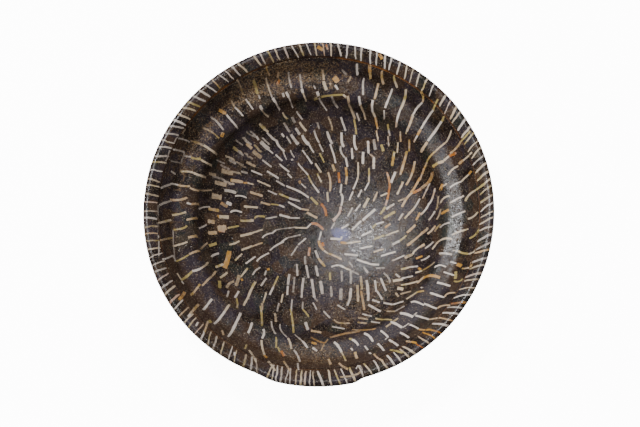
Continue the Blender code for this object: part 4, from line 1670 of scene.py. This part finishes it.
FLANGE_LEFT = [
    ("grey", 1.8, 206.6, 224.6, 202.6, 226.6, 198.6, 228),
    ("peach", 3, 197.4, 236, 192, 236.6, 188, 237.4),
    ("cream", 2.2, 187.4, 242, 181, 244, 173, 246),
    ("tan", 2.2, 172.6, 237.4, 165, 239, 159, 240.4),
    ("olive", 2.2, 187, 225.6, 182, 228.4, 173.6, 229.6),
    ("cream", 2.4, 171, 219.6, 166, 221, 158.6, 223),
    ("peach", 2.6, 197.4, 218, 192, 218.6, 186.4, 220),
    ("cream", 2.4, 186, 212, 181, 213.6, 172, 215),
    ("peach", 2.6, 199, 204, 191, 204.2),
    ("white", 2.2, 191, 204, 186.6, 203),
    ("peach", 2.6, 187, 197.4, 181, 199.4, 170, 199.4),
    ("grey", 2.2, 171.6, 200.6, 165, 202.6, 158.6, 206),
    ("grey", 1.6, 198.6, 209, 204, 207, 210, 207),
    ("tan", 1.8, 211.6, 190, 199, 190),
    ("peach", 2.2, 199, 190.6, 194, 189.6, 190, 187.6),
    ("peach", 2.4, 190, 186, 184, 186, 178, 185),
    ("white", 2, 178, 185, 174, 184, 170, 184),
    ("grey", 2, 170, 184.4, 165, 186, 160.6, 188),
    ("cream", 2.6, 206, 177.4, 200, 175.4, 194, 173),
    ("cream", 2.2, 194, 173, 187, 171.4, 180.6, 171.6),
    ("grey", 2, 175.6, 174.4, 171, 171),
    ("tan", 3, 209, 173.6, 216, 175),
    ("cream", 2.4, 211.6, 165.4, 206, 162.6, 201, 159.6),
    ("olive", 2.6, 201, 158.6, 195, 158.6, 191, 157),
    ("grey", 2, 191, 157, 184, 155.6),
    ("grey", 2, 184.6, 152.4, 179, 150.6, 172.6, 149.6),
    ("cream", 2.8, 217, 154.6, 211, 150, 203.6, 145),
    ("tan", 2, 203, 146, 197, 142.6, 190.6, 141),
    ("grey", 1.8, 190, 142, 184, 139.6, 178, 138.6),
    ("dim", 1.4, 181.4, 163, 184.6, 153),
    ("dim", 1.6, 181.4, 163, 170.6, 161),
    ("dim", 1.2, 173, 230, 173.4, 245),
    ("dim", 1.2, 173.6, 247, 175, 261),
    ("grey", 1.4, 158, 205, 157.6, 220),
    ("grey", 1.4, 157.8, 222, 158.4, 238),
    ("grey", 1.2, 158.8, 241, 158.8, 256),
    ("dim", 1.4, 165.6, 161, 168, 156, 169.6, 150),
    ("dim", 1.2, 174, 143, 177, 138, 180, 137),
    ("tan", 1.6, 182, 134, 185, 129),
]
FLANGE_LOWER_LEFT = [
    ("cream", 2.8, 229.6, 304.4, 225, 311),
    ("white", 2.6, 225, 311, 220, 318, 214, 323.6),
    ("peach", 2, 222, 330, 223.6, 335),
    ("white", 2.6, 212, 298.8, 208, 304, 203, 309.6),
    ("peach", 3, 198.6, 304, 194, 309, 190, 314),
    ("white", 2.4, 190, 314, 188, 316.6),
    ("peach", 2.2, 208, 321, 206, 327, 204.6, 332),
    ("olive", 3.6, 209, 320, 211, 322.6),
    ("white", 2.2, 198, 322, 196, 326),
    ("peach", 2.4, 215.6, 271, 210, 277.6, 202, 285.6),
    ("peach", 2.6, 200, 284, 196.4, 289, 190.6, 295),
    ("amber", 3.4, 184.6, 291.6, 182, 296, 179, 299.6),
    ("cream", 2.2, 208, 262, 204, 266, 200, 268.6),
    ("white", 2.6, 202, 267.6, 197, 270, 192, 271),
    ("olive", 2.8, 192.6, 271, 187, 276, 181, 280),
    ("cream", 1.6, 177, 273, 181, 279),
    ("white", 1.4, 181.6, 281, 183.6, 283.6),
    ("tan", 2, 207.6, 242.6, 203.6, 246, 200.6, 249),
    ("peach", 2.6, 200, 250.6, 194, 252, 189, 254.4),
    ("olive", 2, 188.6, 255, 182, 258.6, 175.6, 261),
    ("grey", 1.4, 173, 255, 175.6, 261),
    ("grey", 2, 172.6, 255.4, 167, 258, 162, 259),
]
FLANGE_BOTTOM = [
    ("tan", 2.2, 340, 377, 352, 375.8, 361, 372),
    ("grey", 1.4, 356.4, 369, 358, 366, 361, 366.6),
    ("dim", 1.4, 361.4, 367, 362, 370, 359.6, 371.6),
    ("white", 2.8, 334, 342, 338, 346, 341.6, 352),
    ("cream", 1.8, 341.6, 352, 344, 357, 346, 361),
    ("peach", 2.6, 339, 363, 343, 366.6, 348, 369),
    ("peach", 2.6, 328.6, 359, 330.6, 364.6),
    ("white", 2.4, 302.4, 341, 305.6, 345, 307.4, 348),
    ("grey", 1.6, 294.6, 334.6, 300, 339, 302.6, 341.4),
    ("grey", 2.2, 294, 350, 297, 354.6, 300, 361.6),
    ("grey", 2, 297.6, 363, 298.6, 370),
    ("white", 2.4, 312.6, 347.6, 317, 351),
    ("cream", 2.4, 288, 338, 290, 343, 291.4, 349),
    ("orange", 3.2, 281, 351, 284.6, 356),
    ("olive", 1.8, 277.6, 347, 280, 352),
    ("peach", 2, 283.6, 361, 287, 366, 290, 371),
    ("olive", 2, 276, 337, 276.4, 342, 276, 347.6),
    ("white", 2.8, 263, 329, 264, 333, 262, 338.4),
    ("cream", 2.4, 261.6, 340, 262, 346, 264.6, 355),
    ("amber", 2.4, 264, 355, 267, 357.6),
    ("cream", 2.4, 268, 361, 272, 365.6, 275, 371),
    ("white", 2.8, 252, 322.4, 250.4, 328, 248, 333),
    ("olive", 2, 246.6, 344.4, 245, 349),
    ("cream", 2.2, 249, 350, 253, 356, 256, 362),
    ("white", 3, 240.6, 312.6, 237, 321, 228, 336.6),
    ("rust", 1.8, 311, 337, 318, 341, 325, 343),
    ("rust", 1.6, 325, 343, 328, 339),
    ("rust", 1.6, 324, 344, 321, 351),
    ("amber", 2.6, 311.6, 342.6, 316.6, 344),
    ("white", 2.4, 234.6, 352, 234.6, 355.6),
]
FLANGE_LOWER_RIGHT = [
    ("white", 2.8, 400, 313, 407, 314.4, 413, 317),
    ("white", 2.2, 415.6, 315.6, 422, 317.4, 429, 319.6),
    ("peach", 1.8, 429, 319.6, 435, 318.6, 441, 317.6),
    ("white", 2.8, 390.6, 322, 396, 324, 402, 327.6),
    ("white", 2, 409.6, 324.6, 414, 326.4, 418.6, 329),
    ("amber", 2, 418.6, 329.6, 425, 330, 430, 329.6),
    ("white", 2.4, 380.6, 330.6, 384, 333, 388, 337),
    ("white", 2.4, 400, 332.6, 404.6, 335, 409, 338),
    ("amber", 2.4, 406, 341.4, 416.6, 343),
    ("white", 2.6, 364, 333.6, 369, 336, 373, 341.6),
    ("white", 2.6, 389, 340, 393.6, 342.6, 398, 346),
    ("olive", 2.2, 390, 350, 396, 351, 402.6, 353),
    ("olive", 2.4, 349, 338.4, 352, 339.6),
    ("white", 2.6, 352, 339.6, 355.6, 342, 358.4, 345.6),
    ("white", 2.4, 377.6, 343.6, 381, 347, 384, 351),
    ("peach", 2.2, 374, 354, 377, 357.6, 383, 361),
    ("white", 1.8, 364.6, 346, 368, 350),
    ("white", 2, 369, 352.6, 371, 354),
    ("white", 2, 351, 348, 352.6, 350.4),
    ("peach", 3, 355, 352, 357, 358.6),
    ("grey", 1.2, 402.6, 327.6, 409, 323.4),
    ("grey", 1.2, 385, 339.6, 388.6, 336.6),
    ("grey", 1.2, 413, 316.4, 417, 312.4),
]
FLANGE_RIGHT = [
    ("cream", 2.4, 478, 211.6, 474, 216, 468, 219),
    ("white", 1.8, 465.4, 211, 459, 213.6, 452, 217),
    ("amber", 3, 449, 209.6, 444, 212, 441.6, 214),
    ("olive", 2.2, 479, 229, 475, 235, 469.4, 238),
    ("cream", 2, 468.4, 228.8, 460, 231.4, 452, 235),
    ("grey", 1.8, 449.6, 222.6, 444, 224.4, 440, 227.6),
    ("cream", 1.8, 476, 249, 473.4, 252, 468.6, 254),
    ("olive", 2.4, 468.6, 254, 463, 253, 458, 251),
    ("grey", 1.6, 458, 251, 452.6, 250.4),
    ("cream", 2.2, 452, 239, 445, 238.4, 439.6, 241),
    ("peach", 1.8, 471.4, 262, 470, 267, 462, 268.4),
    ("white", 1.6, 456.4, 263.4, 450.4, 261.8),
    ("amber", 4, 457, 264, 461.6, 266),
    ("grey", 2.4, 452, 254.6, 445, 253.4, 439, 253.6),
    ("white", 1.8, 443.6, 272, 450, 274, 455, 275.4),
    ("olive", 3, 456, 271.6, 455.4, 279),
    ("olive", 1.8, 454, 281, 459, 281.4, 463, 278.6),
    ("white", 1.8, 446, 267, 440, 265.2, 434.6, 267.6),
    ("white", 2.4, 437, 282.6, 443.6, 284, 450.4, 286),
    ("white", 2.4, 430, 292.8, 437, 295.2, 444.4, 297.4),
    ("peach", 2, 445, 297, 448, 293.6, 456, 292.8),
    ("white", 2.2, 424, 303.6, 430, 306, 437, 308.8),
    ("peach", 2, 437.6, 308.6, 442, 306, 450, 305.6),
]

LAID = FLOOR_LEFT_EDGE + FLOOR_TOP_EDGE + FLOOR_BOTTOM_EDGE + FLOOR_RIGHT_EDGE
LAID += FLANGE_UPPER_RIGHT + FLANGE_TOP + FLANGE_UPPER_LEFT + FLANGE_LEFT
LAID += FLANGE_LOWER_LEFT + FLANGE_BOTTOM + FLANGE_LOWER_RIGHT + FLANGE_RIGHT
LAID += FLOOR_UPPER_LEFT + FLOOR_MIDDLE + FLOOR_LOWER_LEFT + FLOOR_LOWER_RIGHT + FLOOR_UPPER_RIGHT


class BOWL_OT_body(bpy.types.Operator):
    """Turns the bowl's section into its body"""

    bl_idname = "bowl.body"
    bl_label = "Body"

    def execute(self, context):
        scene = context.scene
        sizes, colours = scene.bowl_sizes, scene.bowl_colours
        section = Section(sizes)
        on_bowl = on_bowl_group(sizes, section)
        zones = zone_group()
        weathering_and_sheen = weather_and_sheen_group(zones, colours)
        material = ground_material(colours, zones, weathering_and_sheen, section)
        strand_material(colours, zones, weathering_and_sheen)
        wire("section", section)
        body = wire("bowl_body", section)
        add_tree(body, body_tree(on_bowl, material), Faces_Round=sizes.turns)
        make_plain(body)
        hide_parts("bowl")
        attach(body, "root")
        return {"FINISHED"}


class BOWL_OT_strands(bpy.types.Operator):
    """Lays the rings of strands in the glass"""

    bl_idname = "bowl.strands"
    bl_label = "Rings of strands"

    def lay(self, name, rings, place, segments, drift=(0.0, 0.0, 0.0)):
        """Makes one piece of these rings. place gives each ring's runs."""
        piece = new_piece(name)
        for number, ring in enumerate(rings):
            inner, outer = place(ring)
            seed = number * SEEDS_TO_A_RING + FIRST_SEED
            modifier = add_tree(piece, ring_tree(ring), Inner_Run=inner, Outer_Run=outer, Seed=seed)
            for title, value in ring.inputs.items():
                group_input(modifier, title, value)
        grow = bpy.data.node_groups["Strands"]
        add_tree(piece, grow, Section=bpy.data.objects["section"], Segments=segments, Drift=drift, Seed=5)
        make_plain(piece)
        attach(piece, "root")

    def execute(self, context):
        sizes = context.scene.bowl_sizes
        section = Section(sizes)
        strand_tree(bpy.data.node_groups["On the bowl"], bpy.data.materials["mosaic_strands"])
        under_band = section.run_outside(section.seam_radius + UNDER_BAND)
        self.lay("strands_rim", RIM_RINGS, lambda ring: (section.run_inside(ring.inner), under_band), 34)
        self.lay(
            "strands_inside",
            INSIDE_RINGS,
            lambda ring: (section.run_inside(ring.inner), section.run_inside(ring.outer)),
            12,
            SWIRL_MIDDLE,
        )
        self.lay(
            "strands_outside",
            OUTSIDE_RINGS,
            lambda ring: (section.run_outside(ring.outer), section.run_outside(ring.inner)),
            10,
        )
        return {"FINISHED"}


class BOWL_OT_single_strands(bpy.types.Operator):
    """Lays the strands of the floor and the ledge that are placed one by one"""

    bl_idname = "bowl.single_strands"
    bl_label = "Single strands"

    def execute(self, context):
        section = Section(context.scene.bowl_sizes)
        sight = PictureSight(section, context.scene.bowl_stage.distance)
        reach = section.sizes.rim_radius
        strands = []
        for look, width, *spots in LAID:
            places = [sight.plan(x, y) for x, y in zip(spots[::2], spots[1::2])]
            if max(place.length for place in places) > reach:
                raise RuntimeError(f"a strand at {spots} lies off the bowl")
            tone, warm, fade = LOOKS[look]
            strand = {"first": places[0], "last": places[-1]}
            strand["middle"] = places[1] if len(places) == 3 else (places[0] + places[1]) / 2
            strand.update({"width": width * PIXEL * SLIMMER, "tone": tone, "warm": warm, "fade": fade})
            strands.append(strand)
        piece = new_piece("strands_single", [(0.0, 0.0, 0.0)] * len(strands))
        strand_points(piece, strands)
        grow = laid_tree(bpy.data.materials["mosaic_strands"])
        add_tree(piece, grow, Body=bpy.data.objects["bowl_body"], Segments=15, Seed=9)
        make_plain(piece)
        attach(piece, "root")
        bpy.data.objects.remove(bpy.data.objects["section"])
        return {"FINISHED"}


# The stage's floor: how far it reaches, and how little below the foot it lies, so that the two don't meet
STAGE_REACH = 4.0
STAGE_GAP = 0.00005
STAGE_CORNERS = ((-1, -1), (1, -1), (1, 1), (-1, 1))


class BOWL_OT_stage(bpy.types.Operator):
    """Sets the pale floor, the lights and the camera"""

    bl_idname = "bowl.stage"
    bl_label = "Stage"

    def execute(self, context):
        scene = context.scene
        stage = scene.bowl_stage
        floor = new_piece("floor")
        corners = [(x * STAGE_REACH, y * STAGE_REACH, -STAGE_GAP) for x, y in STAGE_CORNERS]
        floor.data.from_pydata(corners, [], [(0, 1, 2, 3)])
        pale, _, shader = principled("stage_floor", (0.9, 0.9, 0.9))
        shader.inputs["Base Color"].default_value = (0.92, 0.92, 0.92, 1.0)
        shader.inputs["Roughness"].default_value = 0.9
        shader.inputs["Emission Color"].default_value = (1.0, 1.0, 1.0, 1.0)
        shader.inputs["Emission Strength"].default_value = stage.floor_glow
        floor.data.materials.append(pale)
        floor.visible_diffuse = False
        floor.visible_glossy = False
        world = bpy.data.worlds.new("sky")
        world.use_nodes = True
        world.node_tree.nodes["Background"].inputs["Color"].default_value = (1.0, 1.0, 1.0, 1.0)
        world.node_tree.nodes["Background"].inputs["Strength"].default_value = stage.sky
        scene.world = world
        self.light("key_light", (-0.27, 0.30, 0.91), 1.2, 0.15, stage.key_power)
        self.light("side_light", (-0.52, 0.12, 0.85), 1.2, 0.10, stage.side_power)
        target, away = camera_place()
        camera = bpy.data.cameras.new("camera")
        camera.lens = camera.sensor_width * stage.distance / (PICTURE_SIZE[0] * PIXEL)
        seat = bpy.data.objects.new("camera", camera)
        seat.location = target + away * stage.distance
        seat.rotation_euler = away.to_track_quat("Z", "Y").to_euler()
        scene.collection.objects.link(seat)
        scene.camera = seat
        return {"FINISHED"}

    def light(self, name, direction, distance, width, power):
        """A square lamp that shines at the bowl from this direction."""
        lamp = bpy.data.lights.new(name, "AREA")
        lamp.size = width
        lamp.energy = power
        seat = bpy.data.objects.new(name, lamp)
        away = Vector(direction).normalized()
        seat.location = away * distance
        seat.rotation_euler = away.to_track_quat("Z", "Y").to_euler()
        bpy.context.scene.collection.objects.link(seat)


class BOWL_PT_panel(bpy.types.Panel):
    """Lists the bowl's sizes, colours and stage settings, with a button for each step that builds it"""

    bl_idname = "BOWL_PT_panel"
    bl_label = "Mosaic Glass Bowl"
    bl_space_type = "VIEW_3D"
    bl_region_type = "UI"
    bl_category = "Bowl"

    def draw(self, context):
        layout = self.layout
        for group in (context.scene.bowl_sizes, context.scene.bowl_colours, context.scene.bowl_stage):
            box = layout.box()
            for name in group.__annotations__:
                box.prop(group, name)
        for operator in OPERATORS:
            layout.operator(operator.bl_idname)


OPERATORS = (BOWL_OT_body, BOWL_OT_strands, BOWL_OT_single_strands, BOWL_OT_stage)
CLASSES = (BowlSizes, GlassColours, StageSettings, *OPERATORS, BOWL_PT_panel)


def register():
    for item in CLASSES:
        bpy.utils.register_class(item)
    bpy.types.Scene.bowl_sizes = bpy.props.PointerProperty(type=BowlSizes)
    bpy.types.Scene.bowl_colours = bpy.props.PointerProperty(type=GlassColours)
    bpy.types.Scene.bowl_stage = bpy.props.PointerProperty(type=StageSettings)


def unregister():
    del bpy.types.Scene.bowl_stage
    del bpy.types.Scene.bowl_colours
    del bpy.types.Scene.bowl_sizes
    for item in reversed(CLASSES):
        bpy.utils.unregister_class(item)


def main():
    register()
    bpy.ops.bowl.body()
    bpy.ops.bowl.strands()
    bpy.ops.bowl.single_strands()
    bpy.ops.bowl.stage()


if __name__ == "__main__":
    main()
